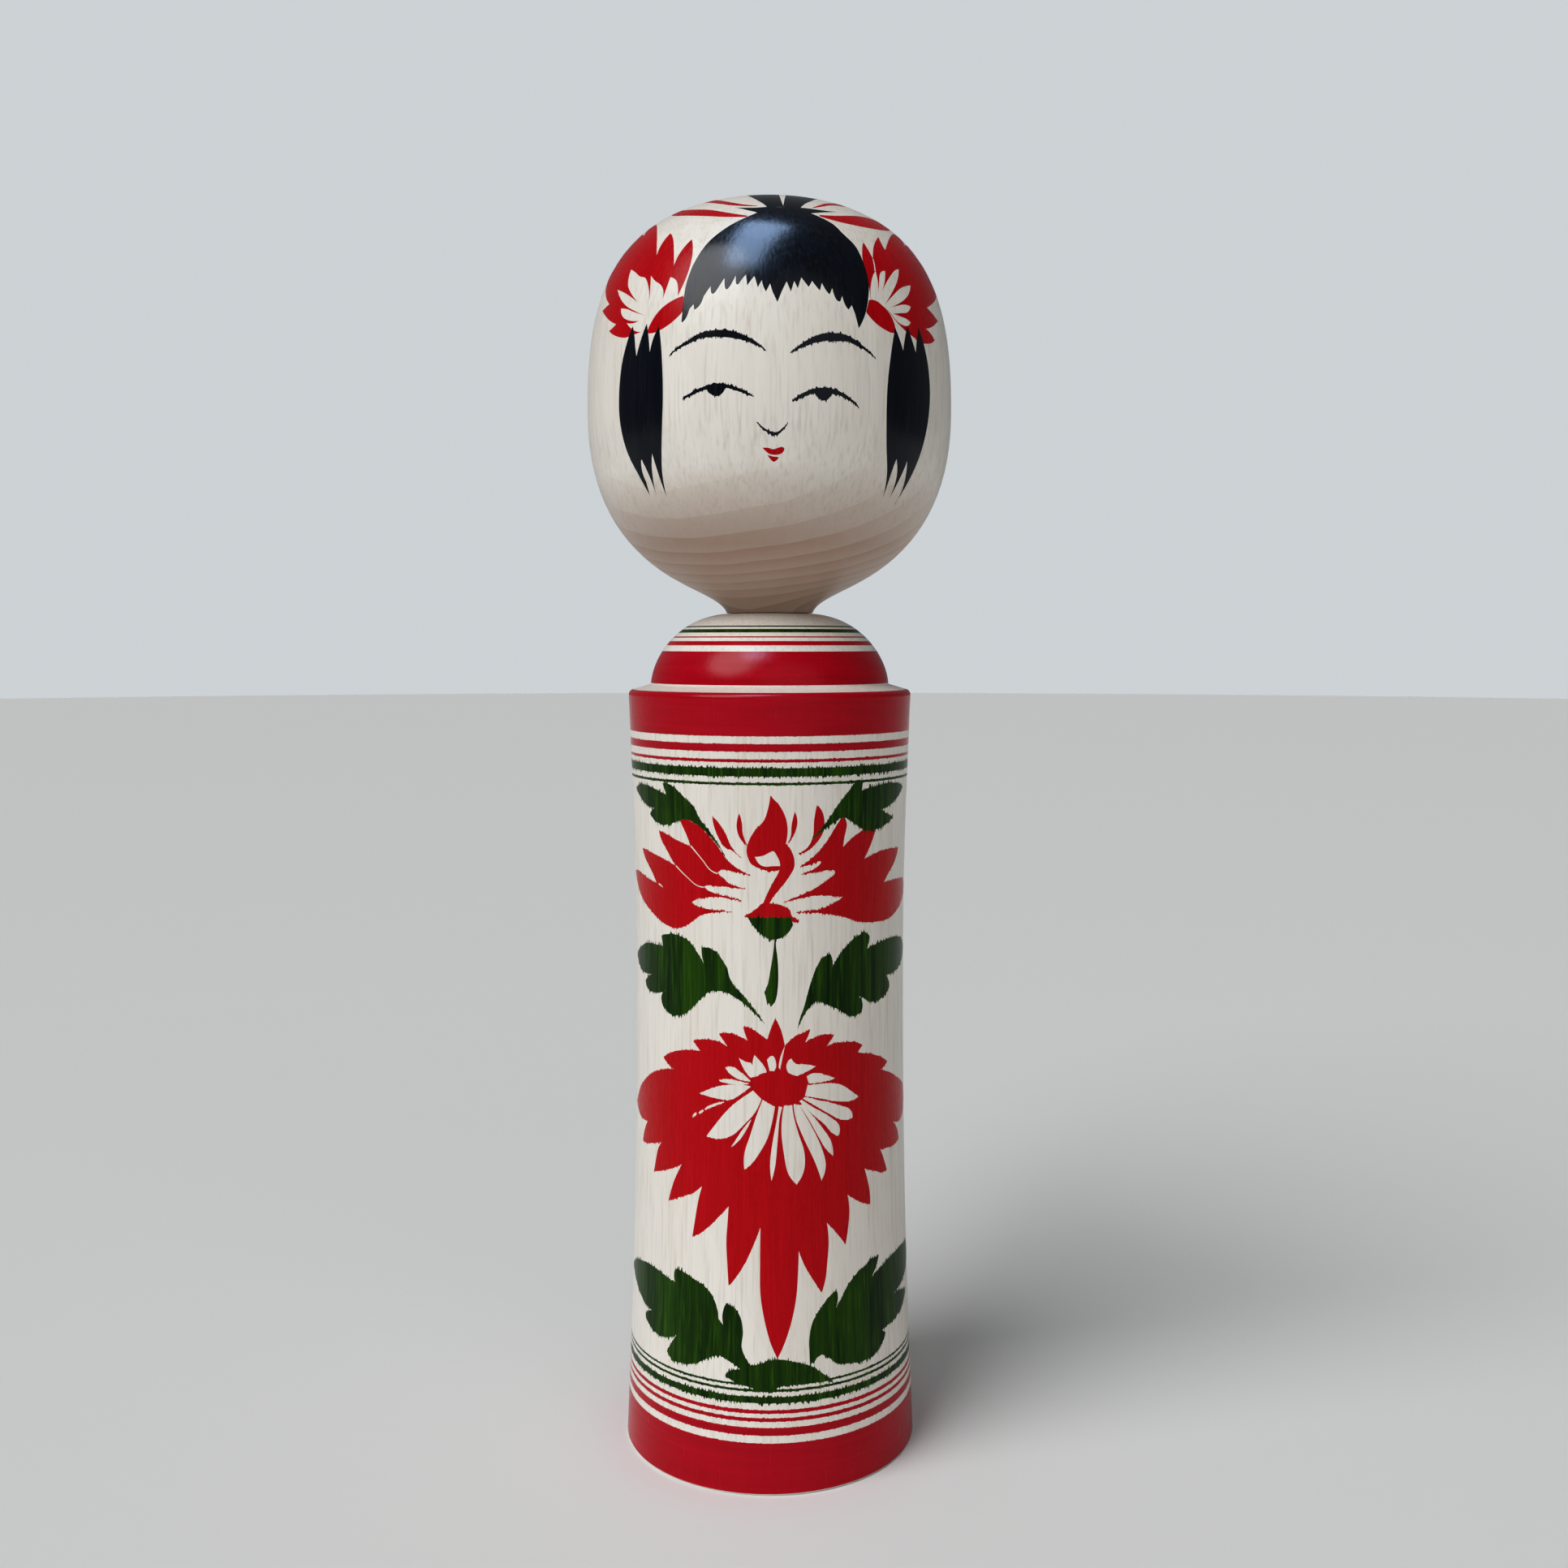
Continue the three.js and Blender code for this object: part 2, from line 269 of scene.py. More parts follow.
FLOWER_LOWER = [
    [(1.5, 112.8), (2.3, 111.4), (3, 109.6), (3.4, 108)],
    [(3.7, 106.4), (5, 107.7), (6.6, 108.8), (8.2, 109.3)],
    [(9.7, 110), (9.1, 108.3)],
    [(8.3, 106.8), (10.6, 107.9), (12.5, 108.4), (14, 108.4)],
    [(15.6, 108.1), (14.6, 106.7)],
    [(13.4, 105.4), (15.3, 106), (18.5, 106), (21.5, 105.6)],
    [(23.9, 104.6), (23.1, 103.8)],
    [(22.1, 103), (25, 102.4), (29, 101.1), (31.5, 99.9)],
    [(33.5, 98.8), (32, 97.9)],
    [(30.3, 97.4), (33.5, 96.3), (38.4, 94), (42, 92.2), (46, 90)],
    [(48.8, 86.2), (46.5, 83.9), (42.3, 82.4), (38.8, 82.6)],
    [(35.1, 84), (38.2, 81.9), (39.6, 80)],
    [(40.5, 78.1), (37, 77.4), (33, 77.8)],
    [(30.1, 78.2), (31.6, 75.4)],
    [(32.9, 72.4), (30.6, 72.4), (28, 73.4)],
    [(24.3, 74.9), (25.3, 71.8), (26, 68.8)],
    [(26.1, 65.9), (23, 67.1)],
    [(19.1, 69.7), (19.6, 66), (19.2, 61.8)],
    [(18.4, 57.8), (16.5, 60.5)],
    [(13.6, 63.9), (14, 59), (13.6, 54.5), (13.1, 50.5)],
    [(12.1, 47.5), (10.2, 50.7), (8.2, 54.3)],
    [(6.8, 58), (6.6, 52.5), (6.1, 46.5), (4.8, 40.4), (3.2, 35.6)],
    [(1.9, 32.8), (0.4, 36.4), (-1, 41.9), (-1.9, 48), (-2, 55)],
    [(-1.9, 63.8), (-3.3, 60), (-5.2, 55.6), (-7.2, 52.1)],
    [(-9.2, 49.5), (-9.5, 54), (-9.8, 60), (-9.5, 65)],
    [(-9.3, 68.4), (-12, 65.2), (-15.2, 61.9)],
    [(-18.5, 59.7), (-17.8, 64), (-17, 68.5)],
    [(-15.9, 72.4), (-18.5, 70.2), (-22, 68.6)],
    [(-26, 66.7), (-24.5, 71.2), (-23, 74.2)],
    [(-21.8, 76.4), (-25, 74.8)],
    [(-32, 72.2), (-31.1, 75.6), (-30.2, 78.3)],
    [(-28.7, 80.2), (-33.1, 78.9), (-36.2, 78.1)],
    [(-38.5, 78.1), (-37.6, 80.6), (-36.5, 82.4)],
    [(-35.3, 83.8), (-38.5, 83.5), (-42.5, 84.3)],
    [(-45.3, 86.2), (-43.4, 88), (-41, 90.6), (-37.5, 93.3), (-33.5, 95.8), (-29.5, 97.5)],
    [(-24.5, 98.7), (-26.5, 99.6)],
    [(-28.2, 100.9), (-25, 102.7), (-21.5, 103.7)],
    [(-16.6, 104.2), (-17.4, 105.2)],
    [(-18.5, 106.4), (-15.5, 107.1), (-12, 106.9)],
    [(-9.5, 105.8), (-10.6, 107.3)],
    [(-11.7, 108.8), (-9.5, 109.1), (-7, 108.5)],
    [(-4.8, 107.5), (-5.4, 109)],
    [(-5.9, 110.7), (-4, 110.4), (-2, 109)],
    [(-0.3, 107.9), (0.4, 110.2)],
]

# Bare inner petals of the lower flower, clockwise from the top
PETALS_LOWER = [
    [[(-0.4, 103.2)],
     [(0.3, 104), (1.2, 103.8), (1.7, 101.8)],
     [(1.3, 100.7)], [(0.2, 100.6)]],
    [[(3.7, 106.3), (3.3, 104.4), (2.9, 102.4)],
     [(2.6, 101)], [(2.3, 101.3), (2.6, 103.5)]],
    [[(4.4, 100.3), (6.5, 99.4), (9, 100.3)],
     [(11, 101.2), (8.5, 101.8), (6.3, 102.1)],
     [(5.2, 103.4), (4.1, 102)]],
    [[(9.3, 97.4), (12.5, 97.4)],
     [(15.9, 97.9), (13.4, 98.9), (10.8, 99.6)],
     [(8.8, 99)]],
    [[(8.4, 94.5), (12, 93.6), (16, 92.5), (20, 91.9)],
     [(22.5, 92.5), (20.5, 94), (17.5, 96.1), (13.5, 96.9)],
     [(9, 96.8)]],
    [[(7.9, 93.9), (11, 91.9), (14.5, 89.6), (17.8, 87.8)],
     [(20.7, 87.8), (20.2, 89.6), (16.5, 91.5), (11.5, 93.2)],
     [(8.4, 94.2)]],
    [[(7.1, 93.3), (10, 90.2), (13, 87.5), (15.2, 85)],
     [(16.8, 84.2), (17, 86.4), (14.5, 88.9), (10.5, 91.5)],
     [(7.6, 93.6)]],
    [[(7, 92.4), (9.2, 89), (11.6, 84.6), (13.6, 81.3)],
     [(15.3, 79.7), (14.8, 83), (12.4, 86.8), (9.6, 90.4)],
     [(7.9, 92.4)]],
    [[(5.7, 92.5), (6.3, 89), (8.3, 84), (10.6, 79)],
     [(12.3, 74.2), (13.4, 77.5), (12.4, 81.8), (10, 87), (7.8, 91)],
     [(6.9, 92.5)]],
    [[(3.5, 92.4), (2.9, 87), (3.4, 81.5), (4.5, 76.3)],
     [(6.4, 73.8), (8.1, 77), (8.2, 81.2), (6.8, 85.8), (5.7, 90)],
     [(5.4, 92.4)]],
    [[(2.3, 92.3), (1.8, 89), (0.9, 84), (0.3, 79)],
     [(0.6, 74.8), (1.4, 78), (2, 84), (2.5, 89.6)],
     [(3.1, 92)]],
    [[(-1.4, 93.8), (-2.9, 89.8), (-4.2, 85.6), (-5.6, 81)],
     [(-5.6, 77.4), (-4, 78.7), (-2.1, 81.4), (-0.3, 84.8), (0.7, 88.4)],
     [(1.4, 92.2), (0, 92.9)]],
    [[(-4, 89.2), (-6, 86.7), (-7.6, 84.2)],
     [(-8.7, 82.4), (-6.6, 84.4), (-5, 87)]],
    [[(-3.6, 95.9), (-5.6, 94.5), (-8, 92.6), (-10.5, 90), (-12.6, 87.3)],
     [(-14.8, 84.4), (-11.5, 84.1), (-8.5, 85.2), (-5.6, 88), (-3.2, 90.8)],
     [(-1.7, 94)]],
    [[(-16.7, 94.2), (-14, 95.5), (-11.5, 96.5), (-8, 97.1)],
     [(-4.2, 96.9), (-6.6, 94.9), (-8.8, 93.6), (-11.5, 93.5)]],
    [[(-11.7, 97.8), (-9.1, 98.3), (-6.6, 97.9)],
     [(-4.6, 97.5), (-7.8, 97.2)]],
    [[(-10.2, 101), (-8.1, 101.1), (-6.2, 99.9)],
     [(-4.2, 98.2), (-6.2, 98.3), (-8.3, 99.1)]],
    [[(-6.9, 103.5), (-5.4, 102.6), (-4, 102.2)],
     [(-3.2, 99.2)], [(-4.3, 99.1), (-5.7, 100.9)]],
    [[(-3.3, 104.2), (-2, 102.9), (-0.9, 101.4)],
     [(-0.5, 100.3), (-1.8, 99.9)], [(-3, 99.2), (-3.7, 101.6)]],
]

LOCKS = [
    [[(-34.1, 268.8), (-33.2, 266.5), (-32.7, 264)],
     [(-32.2, 262), (-31.2, 265)], [(-29.5, 268.9), (-28.7, 266)],
     [(-28.1, 262.4), (-27.3, 265.2)],
     [(-25.8, 267.8), (-25, 264.1), (-24.4, 258), (-24.3, 252), (-24.7, 247), (-25.6, 241),
      (-26.5, 236)],
     [(-26.9, 231.1), (-27.5, 235)],
     [(-28.5, 240.6), (-29.3, 237.7), (-29.8, 234.5)],
     [(-30.1, 231.3), (-30.5, 235.2)], [(-32.2, 239.7), (-32.7, 237)], [(-32.2, 234.7)],
     [(-32.3, 231.8), (-34.2, 236.2), (-36.8, 241.7), (-38.2, 248), (-38.3, 254), (-37.4, 260.6),
      (-35.6, 265.8)]],
    [[(31.2, 268.2), (32.5, 265.5)], [(33.4, 263.4), (34.2, 266.3)], [(35.4, 269.2), (36.8, 266)],
     [(37.9, 263.5), (38.6, 266.5)],
     [(39.7, 269.3), (41.3, 266.2), (42.9, 261.3), (43.6, 255.5), (43.2, 250.5), (41.9, 244),
      (40.1, 238.4), (38.4, 234.5)],
     [(36.3, 230), (37.2, 233.1), (37.1, 236.3)],
     [(36.4, 239.5), (35.8, 237.4)],
     [(33.5, 231.4), (33.9, 234.1), (33.7, 236.8)],
     [(32.6, 239.7), (31.9, 237.2)],
     [(31.2, 231.1), (30.5, 236), (28.8, 242.5), (28.1, 250), (28.5, 257), (29.9, 264)]],
]

# Brows, eyelids and nose, as brush lines
FEATURES = [
    [(-22.6, 261.2, 0.15), (-20.5, 262.6, 0.45), (-18, 263.7, 0.7), (-15, 264.9, 1.05),
     (-12, 265.2, 1.35), (-9.5, 265.1, 1.5), (-7, 264.6, 1.3), (-4.5, 263.8, 0.9),
     (-2.3, 262.7, 0.5), (-0.3, 261.2, 0.1)],
    [(4.9, 260.9, 0.15), (6.5, 261.9, 0.5), (8.5, 263, 0.9), (10.6, 263.9, 1.3), (12.8, 264.5, 1.6),
     (15.5, 264.6, 1.7), (18, 264.5, 1.3), (20.5, 263.5, 0.8), (23, 262.2, 0.4), (25, 260.8, 0.1)],
    [(-19.2, 251.5, 0.2), (-17.5, 252.4, 0.5), (-15.4, 253.2, 0.6), (-13.4, 253.8, 0.7),
     (-11.2, 254.1, 0.8), (-9, 253.9, 0.7), (-7, 253.3, 0.6), (-5, 252.5, 0.5), (-3, 251.5, 0.1)],
    [(5.3, 250.6, 0.2), (7.2, 251.7, 0.7), (9.4, 252.7, 0.9), (11.5, 253.1, 1), (13.7, 253.1, 1),
     (15.7, 252.7, 0.8), (17.8, 251.8, 0.6), (19.4, 250.9, 0.4), (20.7, 249.8, 0.1)],
    [(-2.4, 246.2, 0.15), (-0.9, 244.8, 0.35), (0.5, 244, 0.5), (1.6, 243.7, 0.55),
     (2.7, 244.2, 0.4), (4.4, 246, 0.15)],
]

PUPILS = [
    [[(-13.7, 254), (-12.6, 252.4), (-11.3, 251.9), (-10.2, 252.2)],
     [(-9, 254), (-11.2, 254.3)]],
    [[(10.1, 252.9), (10.7, 251.9), (11.6, 251.1), (12.6, 251), (13.6, 251.6)],
     [(14.4, 253), (12.4, 253.3)]],
]

LIPS = [
    [[(-1.2, 240.8), (0, 240.8), (1.2, 240.5), (2.3, 240.8), (3.2, 241)],
     [(3.7, 240.7), (3.5, 240), (2.8, 239.5), (1.5, 239.3), (0.2, 239.6), (-0.6, 240.2)]],
    [[(-0.1, 239.3), (1.1, 239), (2.4, 238.8)],
     [(2, 238.2), (1.3, 237.9), (0.6, 238.4)]],
]

# The crown: flowers in the hair, the fringe, the knot of hair and its ribbons
HAIR_FLOWERS = [
    [[(-19.1, -37.4), (-19.2, -40), (-20.1, -43.2), (-22.3, -46.5)],
     [(-26.3, -49.6), (-30.5, -48.9), (-35, -48.8)],
     [(-39.2, -49), (-42.4, -46.9)],
     [(-46.7, -43.3), (-49, -40), (-51, -35.4)],
     [(-51.6, -32.5), (-50, -34.2)],
     [(-48.3, -35.5), (-49.8, -31), (-50.5, -26.5)],
     [(-50.7, -21.8), (-49.2, -24)],
     [(-47.6, -26.3), (-47.7, -21.5), (-46.9, -16.5), (-44.8, -11.5)],
     [(-41.5, -7), (-39.9, -8.5)], [(-38.5, -10.5), (-37.4, -8.2)], [(-34.5, -6.5), (-32, -12)],
     [(-31.1, -18.7), (-30.2, -15)],
     [(-28.9, -11.5), (-27.5, -16), (-27.3, -21), (-27.8, -27.5), (-28.5, -31.5)],
     [(-29.1, -34.3), (-26.9, -31.9)],
     [(-24.2, -30.3), (-23.8, -33.5), (-24.3, -37.5)],
     [(-25.2, -41.5), (-22.6, -39.2)]],
    [[(24, -34.5), (26, -36)], [(27.6, -37.3), (26.9, -33)], [(27.5, -27.8), (28.7, -29.7)],
     [(30.1, -30.8), (30.2, -24.7), (30.7, -18), (31.3, -14.5)],
     [(32.6, -11.5), (34, -14.5)], [(34.7, -18.2), (35.1, -13)], [(37.5, -6.5), (39.8, -8)],
     [(41.5, -10), (43.2, -7.6)],
     [(46, -5.5), (48.6, -10.5), (49.1, -16.5), (48.8, -22.5)],
     [(47.8, -28), (50, -25.6)],
     [(53.1, -21.9), (52.7, -26.5), (51.7, -30.7)],
     [(50.4, -33.8), (52.6, -31.4)],
     [(55.3, -29.4), (54.5, -33), (52.5, -37), (50.5, -40)],
     [(48.7, -41), (46.5, -42.6), (43.5, -44.3)],
     [(39.7, -45.5), (34.5, -46.3)],
     [(30.2, -47.7), (29, -45.8), (27.2, -43.2), (24.9, -39.8)]],
]

HAIR_FLOWER_PETALS = [
    [[(-44.6, -34.8), (-43, -37.5), (-41, -41.3)],
     [(-37.7, -46.3), (-40.2, -42.2), (-42.4, -37.5), (-43.4, -33)],
     [(-43.3, -27.8), (-42.3, -30.7), (-41.2, -33.9), (-39.9, -37.5)],
     [(-38.2, -42), (-39.2, -38.8), (-39.8, -35), (-39.6, -32)],
     [(-37.2, -29), (-36.4, -31.6), (-35.4, -35), (-34.1, -37.3), (-34, -40.2)],
     [(-35.1, -44), (-33.6, -41.3)],
     [(-32.3, -38.5), (-31.6, -40.9), (-30.3, -43.6), (-30.1, -45.4), (-30.8, -46.8)],
     [(-32, -47.7), (-29.8, -46.2)],
     [(-27, -43.8), (-25.6, -45.9), (-25.7, -48)],
     [(-26.4, -49.7), (-30.5, -48.9), (-35, -48.8)],
     [(-39.4, -49.2), (-42.4, -46.4), (-44, -43.4)],
     [(-44.7, -40.6), (-42.9, -43)],
     [(-40.6, -44.8), (-43, -42), (-44.7, -38.9), (-45.2, -36.4)]],
    [[(29.2, -40), (30.4, -41.5), (31.5, -43.7)],
     [(32.2, -45.8), (31.2, -42), (30.7, -39.2)],
     [(31.8, -37.3), (32.5, -39.5), (32.8, -42)],
     [(32.7, -44.6), (33.2, -40), (33.9, -36), (34.5, -33.6)],
     [(35.3, -32.1), (36, -35.5), (35.9, -39.5)],
     [(34.9, -45.4), (36.2, -41.5), (37.8, -36.5), (39.2, -33.5)],
     [(40.2, -31.6), (40.7, -34.5), (40, -38.2), (38.3, -42)],
     [(36.4, -45.2), (38.6, -42), (41, -38.6)],
     [(42.8, -36.8), (42.6, -39.3), (40.5, -42.3)],
     [(38.2, -45), (41, -42.9), (43.2, -41.1)],
     [(44.9, -40.1), (44.3, -42.2), (42, -44.3)],
     [(39.6, -45.3), (34.5, -46.2)],
     [(30.3, -47.6), (29.3, -45.4), (28.9, -42.5)]],
]

HAIR_FLOWER_GAPS = [[(27.6, -37.3, 0.3), (28.4, -38.6, 0.35), (29.1, -40.1, 0.4)]]

HAIR_FLOWER_CUPS = [
    [[(-39.5, -49.8), (-36, -48.9), (-32.7, -48.8), (-29.3, -49.3)],
     [(-24.7, -50.5), (-24.9, -52.8)],
     [(-26.7, -54), (-30.7, -54), (-34.7, -53), (-37.3, -51.7)]],
    [[(29.8, -48.3), (32, -46.8), (34.7, -46.2), (37.7, -45.9), (40, -46.5)],
     [(41.5, -47.7), (40, -49.2), (38, -50.3), (35.3, -51.3), (32.7, -51.7)],
     [(30, -51.5)]],
]

FRINGE = [
    [(-27.2, -55.9), (-25.3, -52.3), (-23.2, -48.6), (-21.2, -46.1), (-18.7, -43.6), (-15.3, -40.9),
     (-11.2, -38.6), (-7.8, -36.9), (-5.3, -35.7)],
    [(-2.6, -34.1)], [(-5.2, -32.4)], [(-7.8, -30.2), (-3.7, -31.6)], [(-0.2, -31.4), (3.8, -31.3)],
    [(7.6, -30.4), (11.8, -29.4), (14.2, -28.4)],
    [(16.5, -26.7), (14, -29.3)],
    [(10.1, -32.3), (12.8, -33), (15.9, -34), (18.4, -35.7), (22.2, -37.5), (24.7, -39.8),
     (27.2, -42.8), (28.6, -45.2), (29.5, -48.2), (29.9, -51.1), (29.8, -53.6)],
    [(29.1, -56.3)], [(26.8, -54)], [(25.1, -52.7)], [(24.5, -54.2), (23, -53.6)], [(21.7, -52.1)],
    [(21.5, -53.6), (20.3, -53.8)], [(18.4, -51.7)], [(18, -53.4), (17.2, -53.2)], [(15.2, -51.7)],
    [(15, -53.6), (13.8, -53)], [(12.4, -52.1)], [(11.7, -53.7), (10.9, -53.2)], [(9.3, -52)],
    [(8.6, -54.7)], [(7.4, -53.2)], [(6.7, -55.8)], [(5.3, -53.6)], [(4.2, -55.7)], [(2.9, -58.5)],
    [(1.3, -56.1)], [(0.7, -54.4)], [(-0.5, -56.2), (-1.4, -54.6)], [(-1.6, -53.5)],
    [(-2.8, -55.2)], [(-3.7, -52.5)], [(-4.9, -53.6)], [(-5.8, -54.5)], [(-6, -51.9)],
    [(-7.4, -53), (-8.7, -53.8)], [(-8.8, -51.7)], [(-10.3, -53.4), (-11.9, -54.2)], [(-12, -51.5)],
    [(-14.1, -53.2), (-16.1, -54)], [(-16.2, -52.1)], [(-18.7, -53.6), (-20.3, -55)],
    [(-22.3, -55.3)], [(-22.2, -54)], [(-23.7, -54.4), (-25.8, -55.9)],
]

TOPKNOT = [
    [(-0.2, -31.6), (-1.2, -29.6), (-2.8, -26.5), (-4.2, -22.5), (-5.4, -17), (-6.2, -12)],
    [(-5.8, -6.5), (-4.4, -9)], [(-2.9, -4.6), (-1.2, -7.6)],
    [(0.3, -3.8), (2.4, -8.5), (2.5, -21.5)],
    [(3.5, -30.7), (3.9, -21.5), (4.2, -8.5)],
    [(6, -3.8), (7.2, -7.6)], [(9, -4.6), (10.3, -9)],
    [(12, -6.5), (12.2, -12), (11.3, -18), (10.1, -23.6), (8.8, -26.9)],
    [(7.4, -31)],
]

RIBBONS = [
    [(-5, -35.3, 0.6), (-10, -33, 1.8), (-14.5, -29.2, 2.8), (-18.2, -25, 3), (-20.8, -20.5, 3),
     (-22, -16, 2.6), (-21.8, -11, 1.6), (-20.6, -6.5, 0.2)],
    [(-2.6, -30.8, 0.3), (-5.5, -29.8, 0.9), (-8.2, -27.9, 1.5), (-10.4, -25.2, 1.8),
     (-12.4, -21.5, 2.2), (-14, -17, 2.2), (-14.4, -12, 1.6), (-13.8, -7, 0.2)],
    [(12.2, -32.3, 0.6), (16.5, -30.8, 2.5), (20.3, -28, 4), (23.4, -24.5, 5), (26, -20.5, 5),
     (27.8, -16, 4), (28.2, -11, 2.2), (27.4, -6.5, 0.2)],
    [(10.5, -29, 0.3), (12.2, -26.5, 0.9), (14, -23, 1.4), (16.6, -18.5, 2), (18.2, -13.5, 1.8),
     (18.8, -8, 0.2)],
]

# ---------------------------------------------------------------- bands of ink
# A band is an ink, its top and bottom heights and, on the barrel, how far the ink runs
# into the grain.

DOME_BANDS = [
    (GREEN, 202.7, 202.4), (GREEN, 201.9, 201.1),
    (RING_RED, 200.2, 199.9), (RING_RED, 199.1, 198.1), (RING_RED, 196.7, 189.0),
]
BARREL_ENDS = BASE_CHAMFER, LEDGE_HEIGHT - LEDGE_ROUNDING
LEDGE_INK_TOP = 187.45
BARREL_BANDS = [
    (RING_RED, BARREL_ENDS[1], 177.7, 0.04), (RING_RED, 175.9, 174.2, 0.05),
    (RING_RED, 172.4, 171.8, 0.06), (GREEN, 170.4, 168.6, 0.2), (GREEN, 167.1, 166.6, 0.07),
    (GREEN, 26.7, 26.3, 0.07), (GREEN, 25.4, 24.9, 0.08), (GREEN, 23.6, 22.2, 0.2),
    (RING_RED, 20.5, 19.7, 0.06), (RING_RED, 18.6, 17.8, 0.06), (RING_RED, 16.3, 14.5, 0.06),
    (RING_RED, 12.6, BARREL_ENDS[0], 0.05),
]

# How far the ink of the other strokes runs into the grain
LEAF_REACH, PETAL_REACH, HAIR_REACH, FEATURE_REACH = 0.26, 0.12, 0.12, 0.15

# ---------------------------------------------------------------- profiles


def bezier(start, start_control, end_control, end, steps=40):
    """Points along a cubic curve, both ends included."""
    t = np.linspace(0, 1, steps + 1)[:, None]
    a, b, c, d = (np.array(p, float) for p in (start, start_control, end_control, end))
    return (1 - t) ** 3 * a + 3 * (1 - t) ** 2 * t * b + 3 * (1 - t) * t**2 * c + t**3 * d


def polyline(*points):
    return np.array(points, float)


def up_slope(start, angle, distance):
    """The point at a distance from a start, up a line at an angle to the floor."""
    return (start[0] + distance * math.cos(angle), start[1] + distance * math.sin(angle))


def ledge_edge(steps=10):
    """Quarter round from the flat ledge onto the barrel's side."""
    turn = np.linspace(math.pi / 2, 0, steps + 1)
    across = LEDGE_RADIUS - LEDGE_ROUNDING * (1 - np.cos(turn))
    up = LEDGE_HEIGHT - LEDGE_ROUNDING * (1 - np.sin(turn))
    return np.stack([across, up], axis=1)


def bore_stretches():
    lip_bottom = SHOULDER_HEIGHT - LIP_DEPTH
    floor = SHOULDER_HEIGHT - BORE_DEPTH
    undercut = (BORE_RADIUS, lip_bottom - BORE_UNDERCUT)
    chamfer = (LIP_RADIUS, SHOULDER_HEIGHT - LIP_CHAMFER)
    return [
        polyline((0, floor), (BORE_RADIUS, floor)),
        polyline((BORE_RADIUS, floor), undercut),
        polyline(undercut, (LIP_RADIUS, lip_bottom)),
        polyline((LIP_RADIUS, lip_bottom), chamfer),
        polyline(chamfer, (LIP_RADIUS + LIP_CHAMFER, SHOULDER_HEIGHT)),
    ]


def shoulder_stretches():
    top = (LIP_RADIUS + LIP_CHAMFER, SHOULDER_HEIGHT)
    top_control = (top[0] + SHOULDER_HANDLE, SHOULDER_HEIGHT)
    foot = (DOME_RADIUS, LEDGE_HEIGHT + LEDGE_RISE)
    foot_control = (foot[0] - DOME_LEAN, foot[1] + DOME_HANDLE)
    return [
        bezier(top, top_control, foot_control, foot),
        polyline(foot, (LEDGE_RADIUS - LEDGE_ROUNDING, LEDGE_HEIGHT)),
        ledge_edge(),
    ]


def barrel_stretch():
    edge = (LEDGE_RADIUS, LEDGE_HEIGHT - LEDGE_ROUNDING)
    edge_control = (edge[0] - LEDGE_LEAN, edge[1] - LEDGE_HANDLE)
    waist = (WAIST_RADIUS, WAIST_HEIGHT)
    waist_above = (WAIST_RADIUS, WAIST_HEIGHT + WAIST_HANDLE_UP)
    waist_below = (WAIST_RADIUS, WAIST_HEIGHT - WAIST_HANDLE_DOWN)
    foot = (BASE_RADIUS, BASE_CHAMFER)
    foot_control = (BASE_RADIUS - FOOT_LEAN, BASE_CHAMFER + FOOT_HANDLE)
    above = bezier(edge, edge_control, waist_above, waist)
    below = bezier(waist, waist_below, foot_control, foot)
    return np.concatenate([above, below[1:]])


def base_stretches():
    rim = (BASE_RADIUS - BASE_CHAMFER, 0)
    return [polyline((BASE_RADIUS, BASE_CHAMFER), rim), polyline(rim, (0, 0))]


def face_stretch():
    crown = (0, CROWN_HEIGHT)
    widest = (HEAD_RADIUS, HEAD_MIDDLE)
    temple = (HEAD_RADIUS, HEAD_MIDDLE + TEMPLE_HANDLE)
    cheek = (HEAD_RADIUS, HEAD_MIDDLE - CHEEK_HANDLE)
    chin = (CHIN_RADIUS, CHIN_HEIGHT)
    above = bezier(crown, (CROWN_HANDLE, CROWN_HEIGHT), temple, widest)
    below = bezier(widest, cheek, up_slope(chin, CHIN_SLOPE, CHIN_HANDLE_OUT), chin)
    return np.concatenate([above, below[1:]])


def neck_stretches():
    chin = (CHIN_RADIUS, CHIN_HEIGHT)
    neck = (NECK_RADIUS, SHOULDER_HEIGHT + NECK_GAP)
    neck_control = (neck[0] + NECK_LEAN, neck[1] + NECK_HANDLE)
    flange_top = SHOULDER_HEIGHT - LIP_DEPTH - FLANGE_DROP
    shoulder = (FLANGE_RADIUS, flange_top - (FLANGE_RADIUS - JOURNAL_RADIUS))
    tip = (FLANGE_RADIUS - PLUG_CHAMFER, PLUG_END)
    return [
        bezier(chin, up_slope(chin, CHIN_SLOPE, -CHIN_HANDLE_IN), neck_control, neck),
        polyline(neck, (JOURNAL_RADIUS, neck[1])),
        polyline((JOURNAL_RADIUS, neck[1]), (JOURNAL_RADIUS, flange_top)),
        polyline((JOURNAL_RADIUS, flange_top), shoulder),
        polyline(shoulder, (FLANGE_RADIUS, PLUG_END + PLUG_CHAMFER)),
        polyline((FLANGE_RADIUS, PLUG_END + PLUG_CHAMFER), tip),
        polyline(tip, (0, PLUG_END)),
    ]


